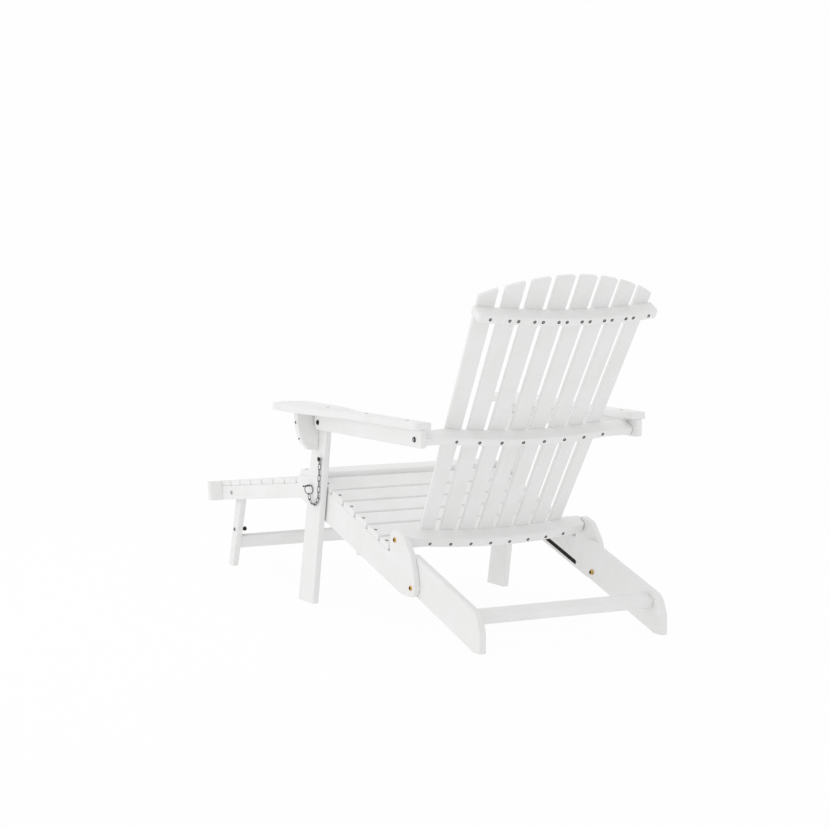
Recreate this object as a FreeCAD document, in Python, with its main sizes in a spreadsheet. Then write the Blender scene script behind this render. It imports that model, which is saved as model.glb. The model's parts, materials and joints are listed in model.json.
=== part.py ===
"""Folding lounge chair with a slide-out footrest.

X runs to the sitter's left, Y backwards and Z up. Boards are drawn in the side view (Y, Z) or in a
frame of their own. Every length comes from the sheet; tables of bare numbers are shares of a length.
"""
import math
import os
from types import SimpleNamespace

import FreeCAD
import Part

Vector = FreeCAD.Vector

SIZES = {
    # Seat side boards and seat slats
    "seat_width": 580.0,
    "seat_board_thickness": 16.0,
    "seat_front_y": -342.0,
    "seat_front_low_z": 283.2,
    "seat_level_z": 345.0,
    "slope_rise": 2.3,
    "seat_step_y": -214.5,
    "seat_low_rear_y": 266.0,
    "seat_low_rear_z": 95.3,
    "seat_low_bend": 60.0,
    "seat_front_low_round": 14.0,
    "seat_front_top_round": 10.0,
    "rear_round": 25.0,
    "seat_slat_thickness": 16.0,
    "seat_slat_gap": 4.0,
    "seat_slat_pitch": 70.0,
    "level_slat_front_y": -329.0,
    "level_slat_rear_y": -212.0,
    "level_slat_nose": 9.0,
    "slope_front_y": -208.5,
    "first_gap_y": -131.5,
    "slope_rear_y": 203.0,
    # Groove, channel and axle of the footrest
    "groove_radius": 6.2,
    "groove_depth": 9.0,
    "channel_wall": 1.6,
    "axle_y": -318.0,
    "axle_z": 294.6,
    "groove_rear_y": 206.0,
    "axle_radius": 4.0,
    "roller_gap": 0.25,
    "roller_length": 6.0,
    "roller_play": 1.0,
    # Rear legs and stretcher
    "rear_leg_thickness": 18.0,
    "rear_leg_front_y": 273.0,
    "rear_leg_front_low_z": 110.0,
    "rear_leg_front_top_z": 210.6,
    "rear_leg_nose": 30.0,
    "rear_foot_front_y": 612.7,
    "rear_end_y": 648.0,
    "rear_heel_z": 52.0,
    "rear_heel_round": 26.0,
    "rear_shoulder_y": 628.0,
    "rear_shoulder_z": 98.8,
    "rear_shoulder_round": 46.0,
    "rear_bolt_y": 322.0,
    "rear_bolt_z": 118.0,
    "stretcher_y": 575.0,
    "stretcher_z": 100.5,
    "stretcher_width": 40.0,
    "stretcher_thickness": 26.0,
    "dowel_radius": 5.0,
    "dowel_end": 12.0,
    "dowel_reach": 24.0,
    # Back
    "back_foot_y": 275.0,
    "back_foot_z": 209.7,
    "back_half_width": 225.0,
    "back_hollow": 19.2,
    "back_slat_thickness": 12.0,
    "slat_low_v": -10.0,
    "slat_top_v": 690.0,
    "slat_low_pitch": 54.7,
    "slat_top_pitch": 64.1,
    "slat_low_width": 41.1,
    "slat_top_width": 48.3,
    "outer_slat_low_u": 192.6,
    "outer_slat_top_u": 225.0,
    "outer_slat_low_width": 38.6,
    "outer_slat_top_width": 47.0,
    "crown_height": 796.0,
    "crown_drop": 66.0,
    "crown_half_width": 250.0,
    "rail_depth": 42.0,
    "rail_height": 22.0,
    "low_rail_height": 26.0,
    "rail_seat": 0.7,
    "top_rail_half": 258.0,
    "top_rail_round": 9.0,
    "middle_rail_curve": 243.0,
    "middle_rail_end_depth": 60.0,
    "low_rail_gap": 1.5,
    "low_rail_curve": 226.0,
    "low_rail_end_depth": 67.0,
    "low_rail_round": 9.0,
    "rail_corner": 3.0,
    "low_screw_pitch": 57.4,
    "middle_screw_pitch": 61.6,
    "top_screw_pitch": 66.5,
    "top_screw_pair": 11.6,
    "top_screw_outer_u": 228.0,
    "back_screw_length": 47.0,
    "back_bolt_v": -2.0,
    "back_bolt_depth": 44.5,
    "back_bolt_reach": 38.0,
    "arm_rear_bolt_depth": 37.0,
    "arm_rear_bolt_drop": 25.62,
    "arm_rear_bolt_reach": 40.0,
    # Arms
    "arm_leg_gap": 2.0,
    "arm_thickness": 18.0,
    "arm_overhang": 16.5,
    "arm_width": 118.0,
    "arm_length": 776.0,
    "arm_rear_overhang": 33.25,
    "arm_rail_thickness": 16.0,
    "arm_rail_height": 46.0,
    "arm_rail_front_y": -159.0,
    "arm_rail_nose": 21.5,
    "arm_rail_corner": 6.0,
    "arm_screw_first_y": -90.0,
    "arm_screw_pitch": 225.0,
    # Front legs, corbels, pins and chains
    "side_gap": 0.5,
    "front_leg_thickness": 20.0,
    "front_leg_height": 530.0,
    "front_foot_y": -303.0,
    "front_foot_width": 93.0,
    "front_leg_top_y": -191.0,
    "front_leg_top_width": 79.4,
    "front_leg_top_round": 23.8,
    "front_leg_top_corner": 8.0,
    "arm_bolt_y": -137.0,
    "arm_bolt_drop": 26.0,
    "corbel_width": 63.5,
    "corbel_height": 101.5,
    "corbel_thickness": 22.0,
    "corbel_rear_y": -166.0,
    "corbel_screw_bite": 10.0,
    "pin_y": -213.0,
    "pin_z": 326.0,
    "pin_radius": 3.0,
    "pin_play": 0.08,
    "pin_length": 43.0,
    "pin_head_radius": 4.0,
    "pin_head_length": 3.0,
    "ring_play": 0.8,
    "pin_eye_x": 8.5,
    "ring_radius": 11.4,
    "ring_wire_radius": 1.1,
    "link_width": 8.2,
    "link_wire_radius": 0.95,
    "link_slack": 0.6,
    "chain_anchor_y": -151.0,
    "chain_anchor_z": 405.0,
    "chain_anchor_proud": 9.0,
    "chain_anchor_bite": 14.0,
    "chain_anchor_head_radius": 6.0,
    "chain_drop": 129.8,
    # Footrest
    "footrest_side_gap": 6.0,
    "footrest_rail_thickness": 18.0,
    "footrest_rail_low": -15.0,
    "footrest_rail_top": 27.0,
    "footrest_rail_back": -15.0,
    "footrest_rail_end": 648.0,
    "footrest_low_round": 14.0,
    "footrest_top_round": 20.0,
    "footrest_slat_thickness": 16.0,
    "footrest_slat_gap": 8.0,
    "footrest_slat_width": 71.2,
    "footrest_first_width": 55.5,
    "footrest_second_width": 60.0,
    "footrest_front_gap": 3.5,
    "footrest_front_thickness": 20.0,
    "footrest_pivot_a": 578.0,
    "footrest_pivot_b": 6.0,
    "footrest_leg_gap": 6.0,
    "footrest_leg_thickness": 18.0,
    "footrest_leg_foot_y": -962.0,
    "footrest_leg_foot_width": 30.0,
    "footrest_leg_head": 19.5,
    "footrest_leg_round": 17.0,
    "footrest_stud_a": 122.0,
    "footrest_bar_a": 142.0,
    "footrest_bar_width": 40.0,
    "footrest_bar_thickness": 18.0,
    # Bolts and screws
    "bolt_radius": 4.0,
    "bolt_play": 0.06,
    "bolt_head_radius": 7.2,
    "bolt_face_radius": 5.8,
    "bolt_head_height": 2.8,
    "bolt_overlap": 1.2,
    "nut_radius": 6.8,
    "nut_height": 6.0,
    "bolt_end": 2.0,
    "screw_radius": 1.8,
    "screw_head_radius": 3.8,
    "screw_head_height": 2.6,
    "screw_overlap": 0.5,
    "screw_length": 40.0,
    "running_gap": 0.1,
    "screw_proud": 0.3,
}
DERIVED = {
    "slope_front_z": "seat_level_z + slope_rise",
    "stretcher_length": "seat_width - 2 * seat_board_thickness - 2 * rear_leg_thickness",
    "channel_radius": "groove_radius - channel_wall",
    "channel_depth": "groove_depth - channel_wall",
    "roller_radius": "channel_radius - roller_gap",
    "low_rail_half": "seat_width / 2 - seat_board_thickness - low_rail_gap",
    "arm_low_z": "front_leg_height + arm_leg_gap",
    "arm_rail_low_z": "arm_low_z - arm_rail_height",
    "arm_bolt_z": "arm_low_z - arm_bolt_drop",
    "footrest_width": "stretcher_length - 2 * footrest_side_gap",
    "footrest_bar_length": "footrest_width - 2 * footrest_rail_thickness - 2 * footrest_leg_gap"
                           " - 2 * footrest_leg_thickness",
    "bolt_hole_radius": "bolt_radius + bolt_play",
    "axle_hole_radius": "axle_radius + bolt_play",
    "pin_hole_radius": "pin_radius + pin_play",
    "pin_eye_radius": "ring_wire_radius + ring_play",
}

# Shapes drawn as shares of a length: (first axis, second axis, corner radius).
SEAT_HUMP = [(0.56, 1.68, 3.2), (-0.16, 3.48, 2.4), (-1.6, 5.16, 1.6), (-3.28, 5.56, 0.8),
             (-4.4, 5.28, 0.56)]
ARM_SHAPE = [(0.0, 0.0, 0.475), (1.0, 0.0, 0.49), (1.0, 0.232, 0.763), (0.644, 0.567, 2.2),
             (0.576, 1.0, 0.12), (0.186, 1.0, 0.042), (0.237, 0.515, 1.02), (0.0, 0.296, 1.02)]
CORBEL_SHAPE = [(0.0, 0.0, 0.0), (0.496, 0.0, 0.08), (0.843, 0.276, 0.45), (1.0, 0.69, 0.59),
                (1.0, 1.0, 0.0), (0.0, 1.0, 0.0)]
CORBEL_SCREWS = [(1.0, 0.739), (0.853, 0.315)]
CHAIN_SHAPE = [(0.0, 0.0), (0.055, 0.28), (0.11, 0.56), (0.161, 0.8), (0.284, 0.941), (0.581, 1.0),
               (0.877, 0.941)]
REAR_DOWELS = [(-1.2, 1.68), (0.0, 2.0)]

BACK_LEAN = math.radians(31.4)
SEAT_SLOPE = math.atan(0.325)
GROOVE_SLOPE = math.atan(0.316)
STRETCHER_SLOPE = math.atan(0.32)
FOOTREST_TILT = math.radians(6.8)
BACK_ORDER = (-3.5, -2.5, -1.5, -0.5, 0.5, 1.5, 2.5, 3.5)
CURVE_STEPS = 24
LINKS = 12
SIDES = ((1, "left"), (-1, "right"))

doc = FreeCAD.newDocument("lounge_chair")
sheet = doc.addObject("Spreadsheet::Sheet", "Sizes")
rows = [(alias, "%g" % value) for alias, value in SIZES.items()]
rows += [(alias, "=" + formula) for alias, formula in DERIVED.items()]
for row, (alias, content) in enumerate(rows, start=1):
    sheet.set("A%d" % row, alias)
    sheet.set("B%d" % row, content)
    sheet.setAlias("B%d" % row, alias)
doc.recompute()
mm = SimpleNamespace(**{alias: float(sheet.get(alias)) for alias, _ in rows})

nodes = []


def keep(obj, label):
    """Names a finished part and puts it on the list of parts to write."""
    obj.Label = label
    nodes.append(obj)
    return obj


def feature(kind, stem):
    """A new object whose own name can't clash with a part's label."""
    return doc.addObject(kind, "step%d_%s" % (len(doc.Objects), stem))


def bind(obj, **sizes):
    """Ties properties of an object to sizes in the sheet."""
    for prop, alias in sizes.items():
        obj.setExpression(prop, "Sizes." + alias)
    return obj


def turned(point, direction):
    """A placement at a point, with its own Z along a direction."""
    return FreeCAD.Placement(point, FreeCAD.Rotation(Vector(0, 0, 1), direction))


def axes(origin, ex, ey):
    """A placement with its own X along ex and Y along ey."""
    ez = ex.cross(ey)
    return FreeCAD.Placement(FreeCAD.Matrix(
        ex.x, ey.x, ez.x, origin.x, ex.y, ey.y, ez.y, origin.y, ex.z, ey.z, ez.z, origin.z, 0, 0, 0, 1))


def rounded(points):
    """Lines and arcs of a closed outline. Each point is (a, b) or (a, b, corner radius)."""
    corners = []
    for i, point in enumerate(points):
        here = Vector(point[0], point[1], 0)
        radius = point[2] if len(point) > 2 else 0.0
        if radius <= 0:
            corners.append((here, None, here))
            continue
        before = (Vector(points[i - 1][0], points[i - 1][1], 0) - here).normalize()
        following = points[(i + 1) % len(points)]
        after = (Vector(following[0], following[1], 0) - here).normalize()
        half = math.acos(before.dot(after)) / 2
        middle = (before + after).normalize()
        reach = radius / math.tan(half)
        top = here + middle * (radius / math.sin(half) - radius)
        corners.append((here + before * reach, top, here + after * reach))
    geometry = []
    for i, (start, top, end) in enumerate(corners):
        if top:
            geometry.append(Part.Arc(start, top, end))
        following = corners[(i + 1) % len(corners)][0]
        if end.distanceToPoint(following) > 1e-6:
            geometry.append(Part.LineSegment(end, following))
    return geometry


def extruded(stem, geometry, place, alias):
    """A sketch swept along its own normal by a size from the sheet."""
    sketch = feature("Sketcher::SketchObject", stem + "_outline")
    sketch.Placement = place
    sketch.addGeometry(geometry, False)
    board = bind(feature("Part::Extrusion", stem), LengthFwd=alias)
    board.Base = sketch
    board.DirMode = "Normal"
    board.Solid = True
    return board


def rod(stem, start, direction, length, alias):
    """A round bar whose radius comes from the sheet."""
    bar = bind(feature("Part::Cylinder", stem), Radius=alias)
    bar.Height = length
    bar.Placement = turned(start, direction)
    return bar


def fused(stem, shapes):
    whole = feature("Part::MultiFuse", stem)
    whole.Shapes = shapes
    return whole


def compound(stem, shapes):
    several = feature("Part::Compound", stem)
    several.Links = shapes
    return several


def cut(base, *tools):
    """The base less each tool in turn."""
    for tool in tools:
        less = feature("Part::Cut", "cut")
        less.Base = base
        less.Tool = tool
        base = less
    return base


def screw(face, direction, length, head_alias="screw_head_radius"):
    """A countersunk screw. face is the middle of its head, direction runs to its tip."""
    head = bind(feature("Part::Cone", "screw_head"),
                Radius1=head_alias, Radius2="screw_radius", Height="screw_head_height")
    head.Placement = turned(face, direction)
    neck = mm.screw_head_height - mm.screw_overlap
    shank = rod("screw_shank", face + direction * neck, direction, length - neck, "screw_radius")
    return fused("screw", [head, shank])


def bolt(seat, direction, length, nut_at=None):
    """A flat-headed bolt. seat is the point under its head, and nut_at the distance to its nut."""
    head = bind(feature("Part::Cone", "bolt_head"),
                Radius1="bolt_head_radius", Radius2="bolt_face_radius", Height="bolt_head_height")
    head.Placement = turned(seat, direction * -1)
    start = seat - direction * mm.bolt_overlap
    pieces = [head, rod("bolt_shank", start, direction, length + mm.bolt_overlap, "bolt_radius")]
    if nut_at is not None:
        nut = bind(feature("Part::Prism", "nut"), Circumradius="nut_radius", Height="nut_height")
        nut.Polygon = 6
        nut.Placement = turned(seat + direction * nut_at, direction)
        pieces.append(nut)
    return fused("bolt", pieces)


# Layers across the chair, from the middle outwards
SEAT_OUT = mm.seat_width / 2
SEAT_IN = SEAT_OUT - mm.seat_board_thickness
REAR_IN = SEAT_IN - mm.rear_leg_thickness
LEG_IN = SEAT_OUT + mm.side_gap
LEG_OUT = LEG_IN + mm.front_leg_thickness
ARM_RAIL_IN = LEG_OUT + mm.side_gap
ARM_RAIL_OUT = ARM_RAIL_IN + mm.arm_rail_thickness
ARM_IN = LEG_IN - mm.arm_overhang
FOOTREST_OUT = mm.footrest_width / 2
FOOTREST_IN = FOOTREST_OUT - mm.footrest_rail_thickness
FOOTREST_LEG_OUT = FOOTREST_IN - mm.footrest_leg_gap
FOOTREST_LEG_IN = FOOTREST_LEG_OUT - mm.footrest_leg_thickness
ACROSS = Vector(1, 0, 0)


def back_yz(v, w):
    """A point of the back: v runs up it from its foot, w is square to it and backwards."""
    y = mm.back_foot_y + v * math.sin(BACK_LEAN) + w * math.cos(BACK_LEAN)
    return (y, mm.back_foot_z + v * math.cos(BACK_LEAN) - w * math.sin(BACK_LEAN))


def footrest_yz(a, b):
    """A point of the footrest: a runs forwards from the axle along the rails, b is square to them."""
    y = mm.axle_y - a * math.cos(FOOTREST_TILT) - b * math.sin(FOOTREST_TILT)
    return (y, mm.axle_z - a * math.sin(FOOTREST_TILT) + b * math.cos(FOOTREST_TILT))


FOOTREST_TOP = mm.footrest_rail_top + mm.footrest_slat_thickness
FRONT_END = footrest_yz(mm.footrest_rail_end + mm.footrest_front_thickness, FOOTREST_TOP)[0]
REAR_END = max(mm.rear_end_y, back_yz(mm.crown_height, -mm.rail_depth)[0])
CENTRE_Y = 0.5 * (FRONT_END + REAR_END)


def at(y, z, x=0.0):
    """A point of the side view, moved so that the chair stands centred on the origin."""
    return Vector(x, y - CENTRE_Y, z)


def side_board(stem, points, x, alias):
    """A board drawn in the side view, from x to the left."""
    return extruded(stem, rounded(points), axes(at(0, 0, x), Vector(0, 1, 0), Vector(0, 0, 1)), alias)


def start_x(inner, thickness, sign):
    """Where a board of a pair starts, given its face nearest the middle."""
    return inner if sign > 0 else -inner - thickness


def drilled(stem, y, z, sign, x, length, alias):
    """A drill through a pair's boards, from x outwards."""
    return rod(stem, at(y, z, sign * x), ACROSS * sign, length, alias)


# Seat slats: one level slat with a rounded nose, then a row down the slope
def seat_top(y):
    return mm.slope_front_z - math.tan(SEAT_SLOPE) * (y - mm.slope_front_y)


def seat_under(y):
    return seat_top(y) - mm.seat_slat_thickness / math.cos(SEAT_SLOPE)


LEVEL_TOP = mm.seat_level_z + mm.seat_slat_thickness
SEAT_SCREW_X = SEAT_OUT - mm.seat_board_thickness / 2
DOWN_SLOPE = Vector(0, -math.sin(SEAT_SLOPE), -math.cos(SEAT_SLOPE))

gaps = [mm.first_gap_y + mm.seat_slat_pitch * k for k in range(5)]
starts = [mm.slope_front_y] + [gap + mm.seat_slat_gap / 2 for gap in gaps]
ends = [gap - mm.seat_slat_gap / 2 for gap in gaps] + [mm.slope_rear_y]
level_outline = [(mm.level_slat_front_y, mm.seat_level_z), (mm.level_slat_rear_y, mm.seat_level_z),
                 (mm.level_slat_rear_y, LEVEL_TOP), (mm.level_slat_front_y, LEVEL_TOP, mm.level_slat_nose)]
seat_slats = [side_board("seat_slat", level_outline, -SEAT_OUT, "seat_width")]
seat_screws = []
level_width = mm.level_slat_rear_y - mm.level_slat_front_y
for sign, _ in SIDES:
    for share in (0.2, 0.8):
        face = at(mm.level_slat_front_y + share * level_width, LEVEL_TOP, sign * SEAT_SCREW_X)
        seat_screws.append(screw(face, Vector(0, 0, -1), mm.screw_length))
for start, end in zip(starts, ends):
    drop_y = -mm.seat_slat_thickness * math.sin(SEAT_SLOPE)
    drop_z = -mm.seat_slat_thickness * math.cos(SEAT_SLOPE)
    slat = [(start + drop_y, seat_top(start) + drop_z), (end + drop_y, seat_top(end) + drop_z),
            (end, seat_top(end)), (start, seat_top(start))]
    seat_slats.append(side_board("seat_slat", slat, -SEAT_OUT, "seat_width"))
    middle = 0.5 * (start + end)
    for sign, _ in SIDES:
        face = at(middle, seat_top(middle), sign * SEAT_SCREW_X)
        seat_screws.append(screw(face, DOWN_SLOPE, mm.screw_length))
seat_screw_group = keep(compound("seat_screws", seat_screws), "seat_screws")
for number, slat in enumerate(seat_slats, start=1):
    keep(cut(slat, seat_screw_group), "seat_slat_%d" % number)


BACK_OUT = Vector(0, math.cos(BACK_LEAN), -math.sin(BACK_LEAN))
BACK_BOLT = back_yz(mm.back_bolt_v, -mm.back_bolt_depth)
MIDDLE_RAIL_V = (mm.arm_low_z - mm.arm_rear_bolt_drop - mm.back_foot_z
                 - mm.arm_rear_bolt_depth * math.sin(BACK_LEAN)) / math.cos(BACK_LEAN)
ARM_REAR_BOLT = back_yz(MIDDLE_RAIL_V, -mm.arm_rear_bolt_depth)
ARM_REAR_Y = ARM_REAR_BOLT[0] + mm.arm_rear_overhang
ARM_FRONT_Y = ARM_REAR_Y - mm.arm_length


# Seat side boards, each with a stopped groove that is lined with a channel
def groove_z(y):
    return mm.axle_z - math.tan(GROOVE_SLOPE) * (y - mm.axle_y)


def groove_outline(radius):
    """A slot with round ends about the axle's first and last places."""
    along = Vector(math.cos(GROOVE_SLOPE), -math.sin(GROOVE_SLOPE), 0) * radius
    square = Vector(math.sin(GROOVE_SLOPE), math.cos(GROOVE_SLOPE), 0) * radius
    first = Vector(mm.axle_y, mm.axle_z, 0)
    last = Vector(mm.groove_rear_y, groove_z(mm.groove_rear_y), 0)
    return [Part.Arc(first + square, first - along, first - square),
            Part.LineSegment(first - square, last - square),
            Part.Arc(last - square, last + along, last + square),
            Part.LineSegment(last + square, first + square)]


def groove(stem, radius, depth, alias, sign):
    place = axes(at(0, 0, start_x(SEAT_IN, depth, sign)), Vector(0, 1, 0), Vector(0, 0, 1))
    return extruded(stem, groove_outline(radius), place, alias)


seat_outline = [
    (mm.seat_front_y, mm.seat_front_low_z, mm.seat_front_low_round),
    (mm.seat_low_rear_y, mm.seat_low_rear_z, mm.seat_low_bend),
    (mm.rear_bolt_y + mm.rear_round, mm.rear_bolt_z - mm.rear_round, mm.rear_round)]
for along, up, radius in SEAT_HUMP:
    seat_outline.append((mm.rear_bolt_y + along * mm.rear_round, mm.rear_bolt_z + up * mm.rear_round,
                         radius * mm.rear_round))
seat_outline += [
    (mm.groove_rear_y, seat_under(mm.groove_rear_y)),
    (mm.seat_step_y, seat_under(mm.seat_step_y)),
    (mm.seat_step_y, mm.seat_level_z),
    (mm.seat_front_y, mm.seat_level_z, mm.seat_front_top_round)]

rear_outline = [
    (mm.rear_leg_front_y, mm.rear_leg_front_low_z),
    (mm.rear_foot_front_y, 0.0),
    (mm.rear_end_y, 0.0),
    (mm.rear_end_y, mm.rear_heel_z, mm.rear_heel_round),
    (mm.rear_shoulder_y, mm.rear_shoulder_z, mm.rear_shoulder_round),
    (mm.rear_leg_front_y, mm.rear_leg_front_top_z, mm.rear_leg_nose)]


def stretcher_yz(a, b):
    """A point of the stretcher: a runs backwards down its slope, b is square to it."""
    y = mm.stretcher_y + a * math.cos(STRETCHER_SLOPE) + b * math.sin(STRETCHER_SLOPE)
    return (y, mm.stretcher_z - a * math.sin(STRETCHER_SLOPE) + b * math.cos(STRETCHER_SLOPE))


rear_fixings = []
for sign, _ in SIDES:
    stack = mm.seat_board_thickness + mm.rear_leg_thickness
    head = at(mm.rear_bolt_y, mm.rear_bolt_z, sign * SEAT_OUT)
    rear_fixings.append(bolt(head, ACROSS * -sign, stack + mm.nut_height + mm.bolt_end, nut_at=stack))
    for along, up in REAR_DOWELS:
        y, z = mm.rear_bolt_y + along * mm.rear_round, mm.rear_bolt_z + up * mm.rear_round
        inner = SEAT_IN - mm.dowel_end
        rear_fixings.append(rod("dowel", at(y, z, sign * inner), ACROSS * sign, mm.dowel_reach,
                                "dowel_radius"))
    for share in (0.3, 0.7):
        y, z = stretcher_yz(share * mm.stretcher_width, -mm.stretcher_thickness / 2)
        inner = REAR_IN + mm.dowel_end - 1.5 * mm.dowel_reach
        rear_fixings.append(rod("dowel", at(y, z, sign * inner), ACROSS * sign, 1.5 * mm.dowel_reach,
                                "dowel_radius"))
rear_fixing_group = keep(compound("rear_leg_fixings", rear_fixings), "rear_leg_fixings")

channels = []
for sign, name in SIDES:
    board = side_board("seat_board", seat_outline, start_x(SEAT_IN, mm.seat_board_thickness, sign),
                       "seat_board_thickness")
    through = 2 * mm.seat_board_thickness
    inner = SEAT_IN - mm.seat_board_thickness / 2
    board = cut(board, groove("groove", mm.groove_radius, mm.groove_depth, "groove_depth", sign),
                drilled("back_hole", *BACK_BOLT, sign, inner, through, "bolt_hole_radius"),
                drilled("pin_hole", mm.pin_y, mm.pin_z, sign, inner, through, "pin_hole_radius"),
                seat_screw_group, rear_fixing_group)
    keep(board, "seat_board_" + name)
    channels.append(cut(groove("channel", mm.groove_radius, mm.groove_depth, "groove_depth", sign),
                        groove("hollow", mm.channel_radius, mm.channel_depth, "channel_depth", sign)))
    leg = side_board("rear_leg", rear_outline, start_x(REAR_IN, mm.rear_leg_thickness, sign),
                     "rear_leg_thickness")
    keep(cut(leg, rear_fixing_group), "rear_leg_" + name)
keep(compound("slide_channels", channels), "slide_channels")

stretcher_outline = [stretcher_yz(0, 0), stretcher_yz(0, -mm.stretcher_thickness),
                     stretcher_yz(mm.stretcher_width, -mm.stretcher_thickness),
                     stretcher_yz(mm.stretcher_width, 0)]
stretcher = side_board("rear_stretcher", stretcher_outline, -REAR_IN, "stretcher_length")
keep(cut(stretcher, rear_fixing_group), "rear_stretcher")


# Back: tapered slats in a hollow curve on three sawn rails
def hollow(u):
    return -mm.back_hollow * (u / mm.back_half_width) ** 2


def back_point(u, v, w):
    return at(*back_yz(v, w), u)


def crown(u):
    """Height of the arched top."""
    return mm.crown_height - mm.crown_drop * (u / mm.crown_half_width) ** 2


def back_slat(low_u, top_u, low_width, top_width):
    """A slat that widens upwards, laid flat against the hollow curve, with its top cut to the arch."""
    low = back_point(low_u, mm.slat_low_v, hollow(low_u) - mm.rail_depth)
    top = back_point(top_u, mm.slat_top_v, hollow(top_u) - mm.rail_depth)
    up = (top - low).normalize()
    lean = 4 * hollow(0.5 * (low_u + top_u)) / (low_u + top_u)
    along = ACROSS + BACK_OUT * lean
    along = (along - up * along.dot(up)).normalize()
    rise = mm.slat_top_v - mm.slat_low_v
    corners = []
    for edge in (1, 0, -1):
        height = rise
        for _ in range(6):
            half = 0.5 * edge * (low_width + (top_width - low_width) * height / rise)
            height = crown(low_u + (top_u - low_u) * height / rise + half) - mm.slat_low_v
        corners.append(Vector(half, height, 0))
    left, right = Vector(low_width / 2, 0, 0), Vector(-low_width / 2, 0, 0)
    geometry = [Part.LineSegment(right, left), Part.LineSegment(left, corners[0]),
                Part.Arc(*corners), Part.LineSegment(corners[2], right)]
    return extruded("back_slat", geometry, axes(low, along, up), "back_slat_thickness")


def rail(stem, half, v, alias, rear_curve, front_curve, end_depth, rear_round):
    """A sawn rail. Each long side is hollow as far out as its curve says, and straight beyond."""
    us = [half * (2 * k / CURVE_STEPS - 1) for k in range(CURVE_STEPS + 1)]
    rear = [(u, hollow(min(abs(u), rear_curve))) for u in us]
    front = [(u, hollow(u) - mm.rail_depth - mm.rail_seat) for u in reversed(us)]
    if front_curve < half:
        front = [(u, w if abs(u) < front_curve else -end_depth) for u, w in front]
    rear[0] += (rear_round,)
    rear[-1] += (rear_round,)
    front[0] += (mm.rail_corner,)
    front[-1] += (mm.rail_corner,)
    return extruded(stem, rounded(rear + front), axes(back_point(0, v, 0), ACROSS, BACK_OUT), alias)


slats = []
for order in BACK_ORDER:
    if abs(order) < max(BACK_ORDER):
        slats.append(back_slat(order * mm.slat_low_pitch, order * mm.slat_top_pitch,
                               mm.slat_low_width, mm.slat_top_width))
    else:
        sign = math.copysign(1, order)
        slats.append(back_slat(sign * mm.outer_slat_low_u, sign * mm.outer_slat_top_u,
                               mm.outer_slat_low_width, mm.outer_slat_top_width))
slat_group = compound("slats", slats)

screw_places = [(order * mm.low_screw_pitch, 0.0) for order in BACK_ORDER]
screw_places += [(order * mm.middle_screw_pitch, MIDDLE_RAIL_V) for order in BACK_ORDER]
screw_places += [(sign * mm.top_screw_outer_u, mm.slat_top_v) for sign, _ in SIDES]
for order in BACK_ORDER[1:-1]:
    for sign, _ in SIDES:
        screw_places.append((order * mm.top_screw_pitch + sign * mm.top_screw_pair, mm.slat_top_v))
back_screws = [screw(back_point(u, v, hollow(u) + mm.screw_proud), BACK_OUT * -1, mm.back_screw_length)
               for u, v in screw_places]
back_screw_group = keep(compound("back_screws", back_screws), "back_screws")

pivot_bolts = []
for sign, _ in SIDES:
    low_seat = at(*BACK_BOLT, sign * (SEAT_OUT + mm.running_gap))
    low_length = mm.seat_board_thickness + mm.back_bolt_reach
    pivot_bolts.append(bolt(low_seat, ACROSS * -sign, low_length))
    arm_seat = at(*ARM_REAR_BOLT, sign * (ARM_RAIL_OUT + mm.running_gap))
    arm_length = mm.arm_rail_thickness + mm.arm_rear_bolt_reach
    pivot_bolts.append(bolt(arm_seat, ACROSS * -sign, arm_length))
pivot_group = keep(compound("back_pivot_bolts", pivot_bolts), "back_pivot_bolts")

top_rail = rail("top_rail", mm.top_rail_half, mm.slat_top_v - mm.rail_height / 2, "rail_height",
                mm.top_rail_half, mm.top_rail_half, mm.rail_depth, mm.top_rail_round)
middle_rail = rail("middle_rail", LEG_OUT, MIDDLE_RAIL_V - mm.rail_height / 2, "rail_height",
                   mm.middle_rail_curve, mm.middle_rail_curve, mm.middle_rail_end_depth, mm.rail_corner)
low_rail = rail("bottom_rail", mm.low_rail_half, mm.slat_low_v, "low_rail_height",
                mm.low_rail_half, mm.low_rail_curve, mm.low_rail_end_depth, mm.low_rail_round)
keep(cut(top_rail, slat_group, back_screw_group), "top_rail")
keep(cut(middle_rail, slat_group, back_screw_group, pivot_group), "middle_rail")
keep(cut(low_rail, slat_group, back_screw_group, pivot_group), "bottom_rail")
for number, slat in enumerate(slats, start=1):
    keep(cut(slat, back_screw_group), "back_slat_%d" % number)

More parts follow.
